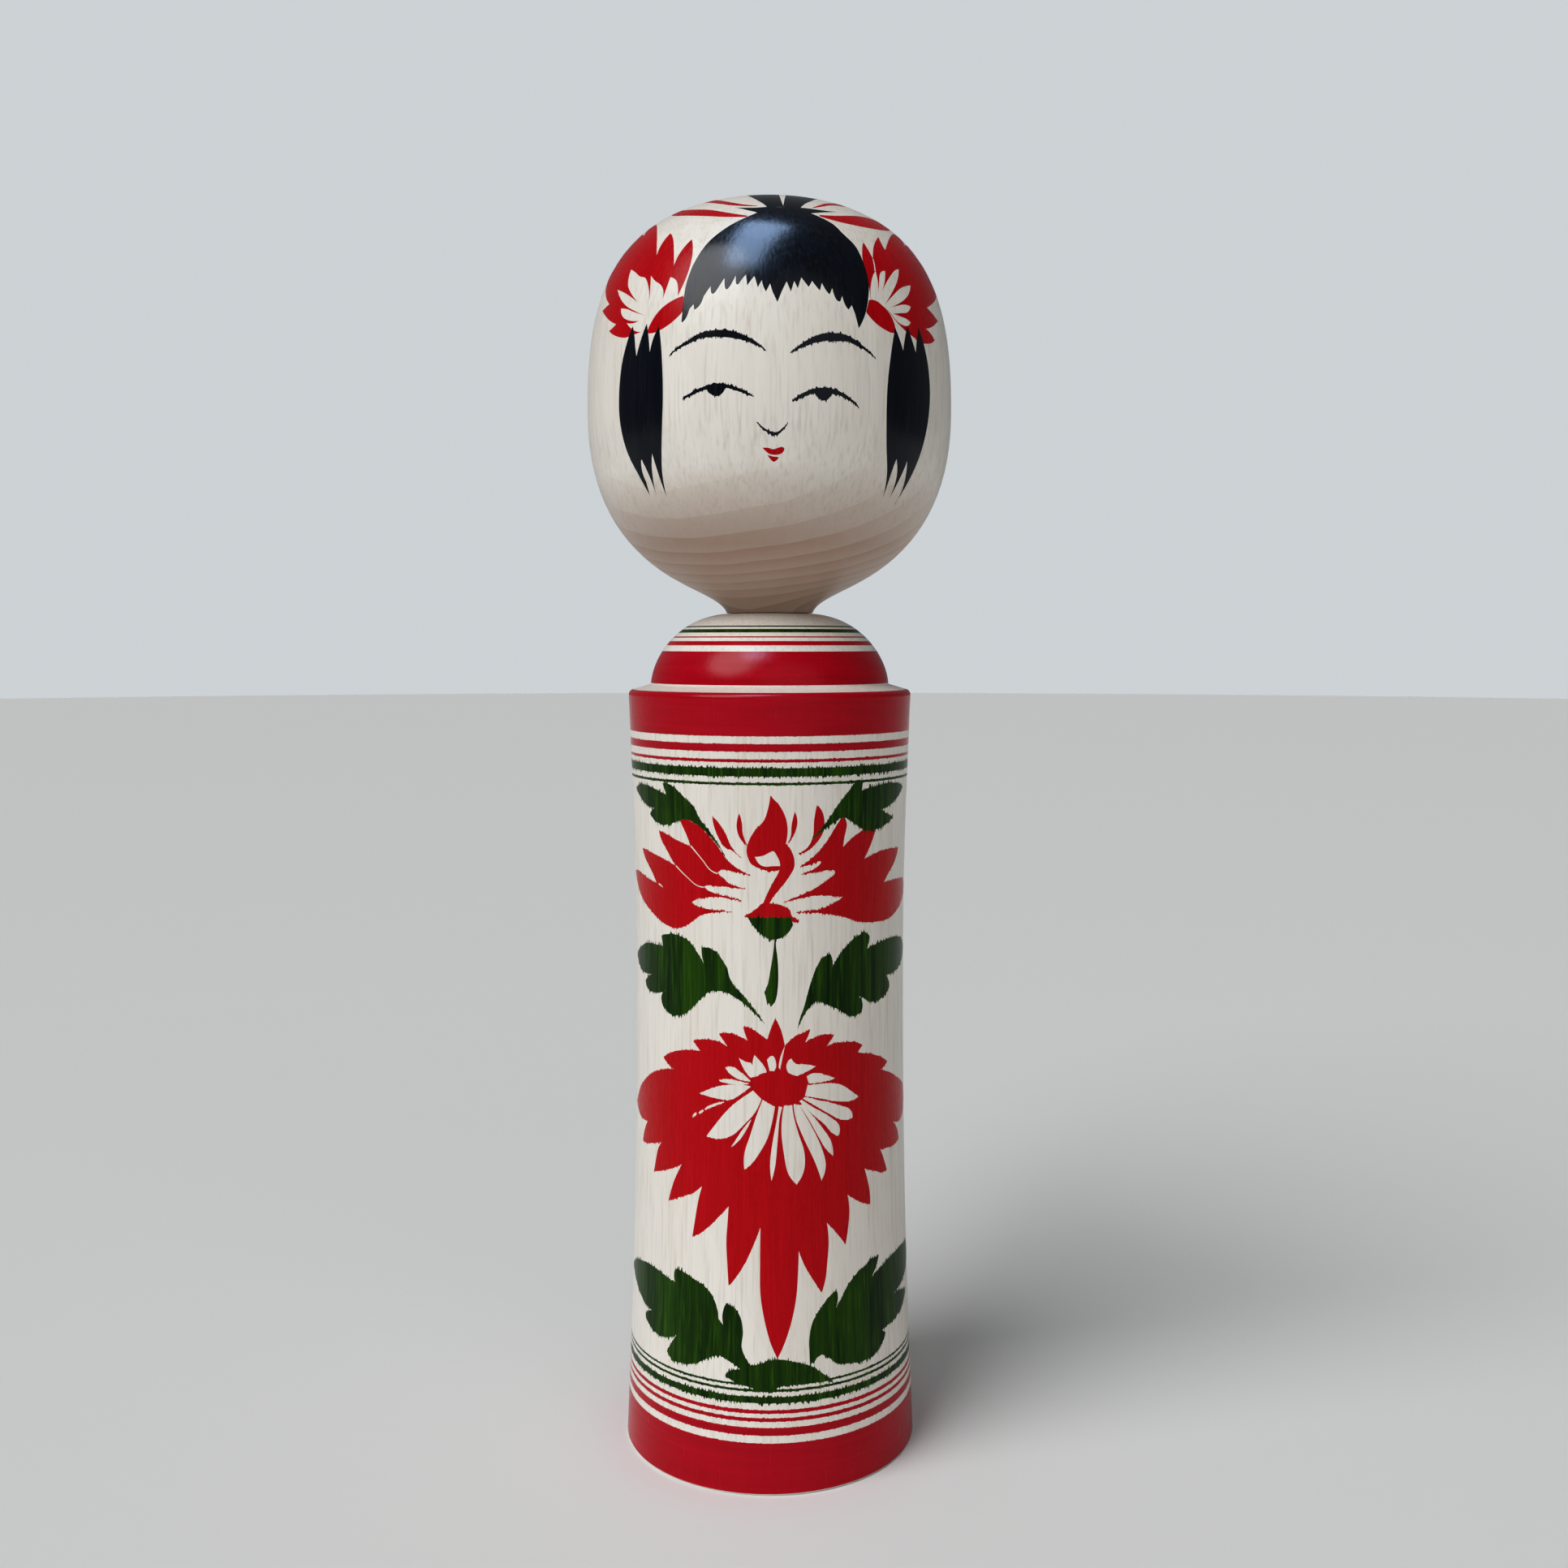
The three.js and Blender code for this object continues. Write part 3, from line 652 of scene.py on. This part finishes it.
class Profile:
    """Stretches of (radius, height) points from the top end of a piece to the bottom one.

    Each stretch keeps its own normals, so the corners between stretches stay sharp.
    """

    def __init__(self, stretches):
        self.ends, self.spans = [0.0], []
        distances, points, normals = [], [], []
        for stretch in stretches:
            first = sum(map(len, points))
            self.spans.append(slice(first, first + len(stretch)))
            steps = np.hypot(*np.diff(stretch, axis=0).T)
            distance = self.ends[-1] + np.concatenate([[0], np.cumsum(steps)])
            tangent = np.gradient(stretch, distance, axis=0)
            distances.append(distance)
            points.append(stretch)
            normals.append(np.stack([-tangent[:, 1], tangent[:, 0]], axis=1))
            self.ends.append(distance[-1])
        self.distances = np.concatenate(distances)
        self.points = np.concatenate(points)
        self.normals = np.concatenate(normals)

    def point(self, distance):
        return [np.interp(distance, self.distances, self.points[:, i]) for i in (0, 1)]

    def normal(self, distance):
        return [np.interp(distance, self.distances, self.normals[:, i]) for i in (0, 1)]

    def distance(self, height, stretch):
        """Distance of a height along one stretch, down which the height only falls."""
        span = self.spans[stretch]
        return np.interp(-np.asarray(height), -self.points[span, 1], self.distances[span])


# ---------------------------------------------------------------- brush strokes


def smooth(points):
    """Samples along a cubic Hermite curve through the points, without the last one."""
    points = np.array(points, float)
    gaps = np.hypot(*np.diff(points[:, :2], axis=0).T)
    knots = np.concatenate([[0], np.cumsum(np.sqrt(gaps))])
    slopes = np.gradient(points, knots, axis=0, edge_order=min(2, len(points) - 1))
    samples = []
    for i, gap in enumerate(gaps):
        span = knots[i + 1] - knots[i]
        t = np.linspace(0, 1, max(2, math.ceil(gap / STROKE_STEP)), endpoint=False)[:, None]
        samples.append(
            (1 + 2 * t) * (1 - t) ** 2 * points[i] + t * (1 - t) ** 2 * span * slopes[i]
            + t**2 * (3 - 2 * t) * points[i + 1] - t**2 * (1 - t) * span * slopes[i + 1]
        )
    return np.concatenate(samples)


def outline(runs):
    """A closed outline, anticlockwise, from runs that start at its sharp corners."""
    starts = [run[0] for run in runs[1:]] + [runs[0][0]]
    points = np.concatenate([smooth([*run, end]) for run, end in zip(runs, starts)])
    ahead = np.roll(points, -1, axis=0)
    area = (points[:, 0] * ahead[:, 1] - ahead[:, 0] * points[:, 1]).sum()
    return points if area > 0 else points[::-1]


def brush(line):
    """The outline of a brush line given as (x, y, width) points."""
    middle = np.concatenate([smooth(line), np.array(line[-1:], float)])
    along = np.gradient(middle[:, :2], axis=0)
    along /= np.hypot(*along.T)[:, None]
    side = np.stack([-along[:, 1], along[:, 0]], axis=1) * middle[:, 2:] / 2
    return np.concatenate([middle[:, :2] - side, (middle[:, :2] + side)[::-1]])


def spikes(count, reach, random):
    """How far the ink runs along the grain at each sample: reach in the mean, seldom far."""
    power = 3
    return reach * (power + 1) * random.random(count) ** power


def run_ink(points, reach, random):
    """Lets an outline's ink run up and down past the edges that lie across the grain."""
    along = np.roll(points, -1, axis=0) - np.roll(points, 1, axis=0)
    outward = -along[:, 0] / np.maximum(np.hypot(*along.T), 1e-9)
    points = points.copy()
    points[:, 1] += outward * spikes(len(points), reach, random)
    return points


def inside(polygon, points, at_once=2000):
    """True for each point that the polygon winds round."""
    result = np.zeros(len(points), bool)
    boxed = np.all((points > polygon.min(0)) & (points < polygon.max(0)), axis=1).nonzero()[0]
    start, end = polygon, np.roll(polygon, -1, axis=0)
    for part in np.array_split(boxed, len(boxed) // at_once + 1):
        x, y = points[part, 0, None], points[part, 1, None]
        rising = (start[:, 1] <= y) & (end[:, 1] > y)
        falling = (start[:, 1] > y) & (end[:, 1] <= y)
        height = np.where(rising | falling, end[:, 1] - start[:, 1], 1)
        crossing = start[:, 0] + (y - start[:, 1]) / height * (end[:, 0] - start[:, 0])
        winding = (rising & (x < crossing)).sum(1) - (falling & (x < crossing)).sum(1)
        result[part] = winding != 0
    return result


# ---------------------------------------------------------------- painted meshes


FILL_HULL = 0   # the cut's output type that has triangles all over the points' hull


def triangulate(chains):
    """Every point and the triangles over chains of joined 2D points, out to their hull."""
    points, edges = [], []
    for chain in chains:
        first = len(points)
        points.extend(Vector(p) for p in chain.tolist())
        edges.extend((i, i + 1) for i in range(first, len(points) - 1))
    result = delaunay_2d_cdt(points, edges, [], FILL_HULL, CUT_ROOM)
    return np.array([tuple(p) for p in result[0]]), np.array(result[2])


def paint(middles, strokes):
    """The ink at each middle point, from (ink, outline) strokes in the order they were laid."""
    inks = np.full(len(middles), WOOD)
    for ink, points in strokes:
        inks[inside(points, middles)] = ink
    return inks


def cut(border, strokes, filling):
    """A flat area's points, its triangles cut along the strokes, and each triangle's ink."""
    closed = [np.concatenate([points, points[:1]]) for _, points in strokes]
    points, triangles = triangulate([*border, *closed, *filling])
    return points, triangles, paint(points[triangles].mean(axis=1), strokes)


def strokes_of(layers, seed):
    """(ink, outline) strokes from layers of (ink, outlines, brush lines, reach of the ink)."""
    random = np.random.default_rng(seed)
    strokes = []
    for ink, outlines, lines, reach in layers:
        shapes = [outline(runs) for runs in outlines] + [brush(line) for line in lines]
        strokes.extend((ink, run_ink(points, reach, random)) for points in shapes)
    return strokes


class Surface:
    """A turned piece's (turn, distance) places, its faces over them, and each face's ink."""

    def __init__(self, stretches):
        self.profile = Profile(stretches)
        self.places, self.faces, self.inks = [], [], []

    def add(self, places, faces, inks):
        first = sum(map(len, self.places))
        self.places.append(places)
        self.faces.extend((np.asarray(faces) + first).tolist())
        self.inks.extend(inks)

    def add_rings(self, stretch, rows, bands=()):
        """Rings of faces down a stretch. A band is an ink and its first and last distance."""
        edges = [edge for _, *span in bands for edge in span]
        start, end = self.profile.ends[stretch:stretch + 2]
        distances = np.unique(np.concatenate([np.linspace(start, end, rows), edges]))
        turns = np.linspace(-math.pi, math.pi, TURNS + 1)
        places = np.stack(np.meshgrid(turns, distances), axis=-1).reshape(-1, 2)
        column, row = np.meshgrid(np.arange(TURNS), np.arange(len(distances) - 1))
        corner = (row * (TURNS + 1) + column).reshape(-1, 1)
        inks = []
        for middle in (distances[:-1] + distances[1:]) / 2:
            ink = next((ink for ink, top, bottom in bands if top < middle < bottom), WOOD)
            inks.extend([ink] * TURNS)
        self.add(places, corner + [0, TURNS + 1, TURNS + 2, 1], inks)

    def mesh(self, name, wraps):
        """The welded mesh, with the profile's own normals.

        The wraps are distances along the profile and the heights that they get in the UVs.
        """
        turn, distance = np.concatenate(self.places).T
        radius, height = self.profile.point(distance)
        points = np.stack([radius * np.sin(turn), -radius * np.cos(turn), height], axis=1)
        mesh = bpy.data.meshes.new(name)
        mesh.from_pydata((points * MM).tolist(), [], self.faces)
        mesh.polygons.foreach_set("material_index", self.inks)
        mesh.attributes.new("distance", "FLOAT", "POINT").data.foreach_set("value", distance)
        weld(mesh)
        places = corner_places(mesh)
        mesh.attributes.remove(mesh.attributes["distance"])
        set_normals(mesh, self.profile, places)
        unwrap(mesh, places, wraps)
        return mesh


def weld(mesh):
    """Joins the parts of the surface where their borders meet."""
    work = bmesh.new()
    work.from_mesh(mesh)
    bmesh.ops.remove_doubles(work, verts=work.verts, dist=WELD * MM)
    work.to_mesh(mesh)
    work.free()


def corner_places(mesh):
    """Turn, distance and the face's middle distance at every corner of every face."""
    points = np.empty(len(mesh.vertices) * 3, np.float32)
    mesh.vertices.foreach_get("co", points)
    points = points.reshape(-1, 3)
    distance = np.empty(len(points), np.float32)
    mesh.attributes["distance"].data.foreach_get("value", distance)
    corner = np.empty(len(mesh.loops), np.int32)
    mesh.loops.foreach_get("vertex_index", corner)
    counts = np.empty(len(mesh.polygons), np.int32)
    mesh.polygons.foreach_get("loop_total", counts)
    first = np.concatenate([[0], np.cumsum(counts)[:-1]])
    per_face = [np.add.reduceat(v[corner], first) for v in (points[:, 0], points[:, 1], distance)]
    across, back, middle = (np.repeat(v / counts, counts) for v in per_face)
    face_turn = np.arctan2(across, -back)
    turn = np.arctan2(points[corner, 0], -points[corner, 1])
    turn = face_turn + (turn - face_turn + math.pi) % (2 * math.pi) - math.pi
    on_axis = np.hypot(points[corner, 0], points[corner, 1]) < WELD * MM
    return np.where(on_axis, face_turn, turn), distance[corner], middle


def set_normals(mesh, profile, places, inward=0.01):
    """Gives each corner the profile's normal, read a little way in from a sharp edge."""
    turn, distance, middle = places
    across, up = profile.normal(distance + (middle - distance) * inward)
    normals = np.stack([across * np.sin(turn), -across * np.cos(turn), up], axis=1)
    mesh.polygons.foreach_set("use_smooth", [True] * len(mesh.polygons))
    mesh.normals_split_custom_set(normals.tolist())


def unwrap(mesh, places, wraps):
    """Lays the surface out flat, with the most room for the painted front."""
    turn, distance, _ = places
    shown, room = FRONT_TURN, FRONT_ROOM / 2
    across = np.interp(turn, [-math.pi, -shown, shown, math.pi], [0, 0.5 - room, 0.5 + room, 1])
    layer = mesh.uv_layers.new(name="OFBake")
    layer.data.foreach_set("uv", np.stack([across, np.interp(distance, *wraps)], axis=1).ravel())


# ---------------------------------------------------------------- body


def barrel_strokes():
    return strokes_of([
        (GREEN, [LEAF_UPPER_LEFT], [], LEAF_REACH),
        (RED, FLOWER_UPPER, [], PETAL_REACH),
        (WOOD, [CURL_EYE], GAPS_UPPER, 0),
        (GREEN, [LEAF_UPPER_RIGHT, CALYX, STALK], [], LEAF_REACH),
        (GREEN, [*LEAVES_MIDDLE, *LEAVES_LOWER], [], LEAF_REACH),
        (RED, [FLOWER_LOWER], [], PETAL_REACH),
        (WOOD, PETALS_LOWER, GAPS_LOWER, PETAL_REACH / 2),
    ], seed=1)


def level_ring(height, columns=TURNS):
    arc = np.linspace(-HALF_ROUND, HALF_ROUND, columns + 1)
    return np.stack([arc, np.full(columns + 1, height)], axis=1)


def band_edge(height, reach, random):
    """A band's edge round the barrel: level on the barrel's own ends, elsewhere ragged."""
    if height in BARREL_ENDS:
        return level_ring(height)
    edge = level_ring(height, round(2 * HALF_ROUND / STROKE_STEP))
    edge[1:-1, 1] += spikes(len(edge) - 2, reach, random)
    return edge


def band_strokes():
    random = np.random.default_rng(seed=2)
    for ink, top, bottom, reach in BARREL_BANDS:
        lower = band_edge(bottom, -reach, random)
        yield ink, np.concatenate([lower, band_edge(top, reach, random)[::-1]])


def barrel_rows():
    """Heights of the plain rows of points, from end to end of the barrel."""
    foot, top = BARREL_ENDS
    return np.linspace(foot, top, round((top - foot) / GRID))


def barrel_filling():
    """Plain points over the barrel, in staggered rows clear of its border."""
    columns = np.linspace(-HALF_ROUND, HALF_ROUND, round(2 * HALF_ROUND / GRID))[1:-1]
    for row, height in enumerate(barrel_rows()[1:-1]):
        shift = GRID / 4 * (-1) ** row
        yield from (np.array([(arc + shift, height)]) for arc in columns)


def add_barrel(surface, stretch):
    """The barrel's side, laid flat as (arc, height) and cut along its bands and strokes."""
    heights = barrel_rows()
    border = [level_ring(height) for height in BARREL_ENDS]
    for arc in (-HALF_ROUND, HALF_ROUND):
        border.append(np.stack([np.full(len(heights), arc), heights], axis=1))
    strokes = [*barrel_strokes(), *band_strokes()]
    points, triangles, inks = cut(border, strokes, barrel_filling())
    distance = surface.profile.distance(points[:, 1], stretch)
    surface.add(np.stack([points[:, 0] / WAIST_RADIUS, distance], axis=1), triangles, inks)


def body_mesh():
    surface = Surface([
        *bore_stretches(), *shoulder_stretches(), barrel_stretch(), *base_stretches()
    ])
    floor, *bore, dome, ledge, edge, barrel, chamfer, base = range(len(surface.profile.ends) - 1)
    find = surface.profile.distance
    surface.add_rings(floor, FLAT_ROWS)
    for stretch in bore:
        surface.add_rings(stretch, SHORT_ROWS)
    surface.add_rings(dome, DOME_ROWS, [(ink, *find(span, dome)) for ink, *span in DOME_BANDS])
    surface.add_rings(ledge, FLAT_ROWS)
    ledge_ink = (RING_RED, *find((LEDGE_INK_TOP, BARREL_ENDS[1]), edge))
    surface.add_rings(edge, EDGE_ROWS, [ledge_ink])
    add_barrel(surface, barrel)
    surface.add_rings(chamfer, SHORT_ROWS)
    surface.add_rings(base, BASE_ROWS)
    ends = surface.profile.ends
    distances = [0, ends[dome], ends[barrel], ends[chamfer], ends[-1]]
    return surface.mesh("body_painted", (distances, BODY_UV_HEIGHTS))


# ---------------------------------------------------------------- head


def crown_strokes():
    return strokes_of([
        (RED, HAIR_FLOWERS, RIBBONS, 0),
        (WOOD, HAIR_FLOWER_PETALS, HAIR_FLOWER_GAPS, 0),
        (RED, HAIR_FLOWER_CUPS, [], 0),
        (BLACK, [TOPKNOT, FRINGE], [], 0),
    ], seed=3)


def face_strokes(profile, stretch):
    """The strokes on the face, moved from (arc, height) onto the crown's (right, back)."""
    strokes = strokes_of([
        (BLACK, LOCKS, [], HAIR_REACH),
        (BLACK, PUPILS, FEATURES, FEATURE_REACH),
        (RED, LIPS, [], 0),
    ], seed=4)
    for ink, points in strokes:
        yield ink, flat(points[:, 0] / HEAD_RADIUS, profile.distance(points[:, 1], stretch))


def flat(turn, distance):
    """Crown points (right, back) of places on the head."""
    return np.stack([distance * np.sin(turn), -distance * np.cos(turn)], axis=1)


def crown_filling(edge):
    """Plain points over the crown, in staggered rings clear of its border."""
    yield np.zeros((1, 2))
    for ring in range(1, int(edge / GRID)):
        count = round(2 * math.pi * ring)
        turn = (np.arange(count) + ring % 2 / 2) * 2 * math.pi / count
        yield from flat(turn, ring * GRID)[:, None]


def add_face(surface, stretch):
    """The head down to the chin, laid flat round its top and cut along its strokes."""
    edge = surface.profile.ends[stretch + 1]
    seam = np.linspace(0, edge, round(edge / GRID))
    border = [
        flat(np.linspace(-math.pi, math.pi, TURNS + 1), edge),
        np.stack([np.zeros(len(seam)), seam], axis=1),
    ]
    strokes = [*crown_strokes(), *face_strokes(surface.profile, stretch)]
    points, triangles, inks = cut(border, strokes, crown_filling(edge))
    places = np.stack([np.arctan2(points[:, 0], -points[:, 1]), np.hypot(*points.T)], axis=1)
    surface.add(places, triangles, inks)


def head_mesh():
    surface = Surface([face_stretch(), *neck_stretches()])
    face, neck, *plug = range(len(surface.profile.ends) - 1)
    add_face(surface, face)
    surface.add_rings(neck, NECK_ROWS)
    for stretch in plug:
        surface.add_rings(stretch, SHORT_ROWS)
    ends = surface.profile.ends
    return surface.mesh("head_painted", ([0, ends[neck], ends[-1]], HEAD_UV_HEIGHTS))


# ---------------------------------------------------------------- materials


CHIN_SHADE_TOP, CHIN_SHADE_FADE = 0.238, 0.017   # where the painted shade and warm bounce under the chin start on the head, and over what height they deepen, m
WAVE_RADIANS = 20                      # of a wave node's rings in a metre, at a scale of 1


class Finish:
    """A material's nodes, with the waxed wood that every finish of the doll starts from."""

    def __init__(self, name, roughness, gloss):
        self.material = bpy.data.materials.new(name)
        self.material.use_nodes = True
        self.tree = self.material.node_tree
        self.shader = self.tree.nodes["Principled BSDF"]
        self.place = self.node("ShaderNodeTexCoord").outputs["Object"]
        self.fibre = self.noise(stretch=(1, 1, 0.045), scale=1500, detail=3)
        self.streak = self.noise(stretch=(1, 1, 0.03), scale=420, detail=2)
        self.cloud = self.noise(stretch=(1, 1, 0.3), scale=34, detail=2)
        self.fill(self.shader, {
            "Specular IOR Level": gloss,
            "Roughness": self.spread(self.fibre, roughness - 0.04, roughness + 0.05),
            "Normal": self.bump(self.fibre, depth=0.00002),
        })

    def node(self, kind, **settings):
        node = self.tree.nodes.new(kind)
        for name, value in settings.items():
            setattr(node, name, value)
        return node

    def fill(self, node, sockets):
        """Sets a node's named sockets, or joins them to other nodes' outputs."""
        for name, value in sockets.items():
            if isinstance(value, bpy.types.NodeSocket):
                self.tree.links.new(value, node.inputs[name])
            else:
                node.inputs[name].default_value = value

    def mapped(self, **sockets):
        """The place on the doll, moved and scaled."""
        mapping = self.node("ShaderNodeMapping")
        self.fill(mapping, {"Vector": self.place, **sockets})
        return mapping.outputs["Vector"]

    def noise(self, stretch, scale, detail):
        """Noise that is finer where the stretch is large: under 1 along Z draws it out."""
        noise = self.node("ShaderNodeTexNoise")
        vector = self.mapped(Scale=stretch)
        self.fill(noise, {"Vector": vector, "Scale": scale, "Detail": detail})
        return noise.outputs["Fac"]

    def rings(self, pith, spacing):
        """Growth rings about a pith at (x, y) metres, as a thin dark line once a spacing."""
        wave = self.node(
            "ShaderNodeTexWave", wave_type="RINGS", rings_direction="Z", wave_profile="SAW"
        )
        self.fill(wave, {
            "Vector": self.mapped(Location=(-pith[0], -pith[1], 0), Scale=(1, 1, 0.12)),
            "Scale": 2 * math.pi / WAVE_RADIANS / spacing,
            "Distortion": 1.6,
            "Detail Scale": 0.4,
        })
        return wave.outputs["Fac"]

    def below(self, start, end, rings):
        """Painted shade and bounce under the chin: none at one height, most at a lower one,
        stronger by ring.
        """
        split = self.node("ShaderNodeSeparateXYZ")
        self.fill(split, {"Vector": self.place})
        deep = self.spread(split.outputs["Z"], 0, 1, start=start, end=end)
        both = self.node("ShaderNodeMath", operation="MULTIPLY")
        self.fill(both, {0: deep, 1: self.spread(rings, 0.70, 0.85, start=0.1, end=1)})
        return both.outputs[0]

    def spread(self, value, low, high, start=0.3, end=0.7):
        """The value from its usual range, start to end, onto low to high."""
        node = self.node("ShaderNodeMapRange")
        self.fill(node, {
            "Value": value, "From Min": start, "From Max": end, "To Min": low, "To Max": high
        })
        return node.outputs["Result"]

    def mix(self, amount, first, second):
        node = self.node("ShaderNodeMix", data_type="RGBA")
        self.fill(node, {"Factor": amount, "A": first, "B": second})
        return node.outputs["Result"]

    def bump(self, height, depth):
        node = self.node("ShaderNodeBump")
        self.fill(node, {"Height": height, "Distance": depth})
        return node.outputs["Normal"]

    def colored(self, base):
        """The material, with its last input, the base colour, joined."""
        self.fill(self.shader, {"Base Color": base})
        return self.material


def color(red, green, blue):
    return (red, green, blue, 1)


def bare_wood(name, shade_top):
    """Pale wood, browned below a given height by painted shade and warm bounce under the chin,
    blurred by growth rings.
    """
    finish = Finish(name, roughness=0.34, gloss=0.3)
    pale, warm = color(0.815, 0.782, 0.72), color(0.76, 0.70, 0.625)
    line, pore = color(0.55, 0.45, 0.37), color(0.42, 0.34, 0.27)
    # the brown of the painted shade and warm bounce under the chin
    chin_shade_brown = color(0.35, 0.205, 0.135)
    rings = finish.rings(pith=(0.006, 0.011), spacing=0.0033)
    base = finish.mix(finish.spread(finish.cloud, 0, 0.5), pale, warm)
    base = finish.mix(finish.spread(finish.streak, 0, 0.15), base, line)
    base = finish.mix(finish.spread(rings, 0, 0.07, start=0.4, end=1), base, line)
    # painted shade: the head darkens and warms towards the chin, more strongly on the growth rings
    if shade_top:
        base = finish.mix(finish.below(shade_top, shade_top - CHIN_SHADE_FADE, rings), base, chin_shade_brown)
    base = finish.mix(finish.spread(finish.fibre, 0, 0.34, start=0.5, end=0.75), base, pore)
    return finish.colored(base)


def ink(name, thick, thin, roughness, gloss):
    """Brushed ink that lets the wood's fibres show as lighter streaks."""
    finish = Finish(name, roughness, gloss)
    base = finish.mix(finish.spread(finish.streak, 0, 0.5), thick, thin)
    base = finish.mix(finish.spread(finish.fibre, 0, 0.8, start=0.52, end=0.72), base, thin)
    return finish.colored(base)


def ring_ink(name, thick, thin, roughness, gloss):
    """Ink laid on with the doll spinning, so that the brush's marks run round it."""
    finish = Finish(name, roughness, gloss)
    brush_marks = finish.noise(stretch=(0.04, 0.04, 1), scale=1100, detail=2)
    base = finish.mix(finish.spread(brush_marks, 0, 0.6), thick, thin)
    base = finish.mix(finish.spread(finish.streak, 0, 0.15), base, thin)
    return finish.colored(base)


def inks():
    """The inks' materials, in the order of the material slots after the wood."""
    red, thin_red = color(0.40, 0.0003, 0.004), color(0.50, 0.0015, 0.008)
    green, thin_green = color(0.0004, 0.012, 0.0006), color(0.034, 0.10, 0.002)
    black, thin_black = color(0.001, 0.002, 0.005), color(0.006, 0.009, 0.018)
    ring_red, thin_ring_red = color(0.34, 0.0003, 0.008), color(0.47, 0.0015, 0.017)
    return [
        ink("crimson_ink", red, thin_red, roughness=0.27, gloss=0.14),
        ink("green_ink", green, thin_green, roughness=0.30, gloss=0.12),
        ink("black_ink", black, thin_black, roughness=0.20, gloss=0.26),
        ring_ink("crimson_ring_ink", ring_red, thin_ring_red, roughness=0.23, gloss=0.17),
    ]


# ---------------------------------------------------------------- scene


def add_piece(mesh, materials, node):
    """The painted piece that stands for a CAD node, on the body of the same name."""
    piece = bpy.data.objects.new(mesh.name, mesh)
    bpy.context.scene.collection.objects.link(piece)
    for material in materials:
        mesh.materials.append(material)
    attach(piece, node)
    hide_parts(node)


def add_camera(place, down, lens, sensor):
    """A camera that faces the front, turned some degrees down from level."""
    data = bpy.data.cameras.new("camera")
    data.sensor_width, data.lens = sensor, lens
    camera = bpy.data.objects.new("camera", data)
    camera.location = place
    camera.rotation_euler = (math.radians(90 - down), 0, 0)
    bpy.context.scene.collection.objects.link(camera)
    bpy.context.scene.camera = camera


def aim(light, source):
    """Turns a light to shine from a direction."""
    light.rotation_euler = Vector(source).to_track_quat("Z", "Y").to_euler()
    bpy.context.scene.collection.objects.link(light)


def add_sky(name, source, spread, strength, tint):
    """A light from far away, so many degrees wide, that lights the whole floor alike."""
    data = bpy.data.lights.new(name, "SUN")
    data.angle = math.radians(spread)
    data.energy = strength
    data.color = tint
    aim(bpy.data.objects.new(name, data), source)


def add_window(place, size, power, tint):
    """A pane above the head that only makes gloss: the soft square one on the hair."""
    data = bpy.data.lights.new("window", "AREA")
    data.shape = "RECTANGLE"
    data.size, data.size_y = size
    data.energy = power
    data.color = tint
    light = bpy.data.objects.new("window", data)
    light.location = place
    light.visible_diffuse = False
    aim(light, Vector(place) - Vector((0, 0, CROWN_HEIGHT * MM)))


def add_world(tint, lighting, seen):
    """Dim surroundings for the gloss to reflect, seen as a plain pale backdrop."""
    world = bpy.data.worlds.new("backdrop")
    world.use_nodes = True
    tree = world.node_tree
    background = tree.nodes["Background"]
    background.inputs["Color"].default_value = color(*tint)
    path = tree.nodes.new("ShaderNodeLightPath")
    strength = tree.nodes.new("ShaderNodeMapRange")
    strength.inputs["To Min"].default_value = lighting
    strength.inputs["To Max"].default_value = seen
    tree.links.new(path.outputs["Is Camera Ray"], strength.inputs["Value"])
    tree.links.new(strength.outputs["Result"], background.inputs["Strength"])
    bpy.context.scene.world = world


def add_lights():
    key, fill = (-0.52, -0.48, 0.71), (0.35, -0.9, 0.3)
    add_sky("key", key, spread=40, strength=1.95, tint=(0.97, 0.985, 1.0))
    add_sky("fill", fill, spread=60, strength=0.34, tint=(1.0, 0.98, 0.95))
    add_window((-0.10, -0.25, 1.02), size=(0.26, 0.60), power=7, tint=(0.45, 0.65, 1.0))
    add_world(tint=(0.80, 0.84, 0.87), lighting=0.20, seen=0.66)
    bpy.context.scene.view_settings.view_transform = "Standard"
    bpy.context.scene.view_settings.look = "Medium High Contrast"


def add_floor():
    bpy.ops.mesh.primitive_circle_add(vertices=96, radius=6, fill_type="NGON")
    floor = bpy.context.object
    floor.name = "floor"
    finish = bpy.data.materials.new("pale_floor")
    finish.use_nodes = True
    shader = finish.node_tree.nodes["Principled BSDF"]
    shader.inputs["Base Color"].default_value = color(0.80, 0.79, 0.77)
    shader.inputs["Roughness"].default_value = 0.7
    floor.data.materials.append(finish)


add_camera(place=(0.00351, -0.3977, 0.1988), down=5.01, lens=37.10, sensor=36)
add_lights()
add_floor()
painted = inks()
add_piece(body_mesh(), [bare_wood("body_wood", None), *painted], "body")
add_piece(head_mesh(), [bare_wood("head_wood", CHIN_SHADE_TOP), *painted], "head")
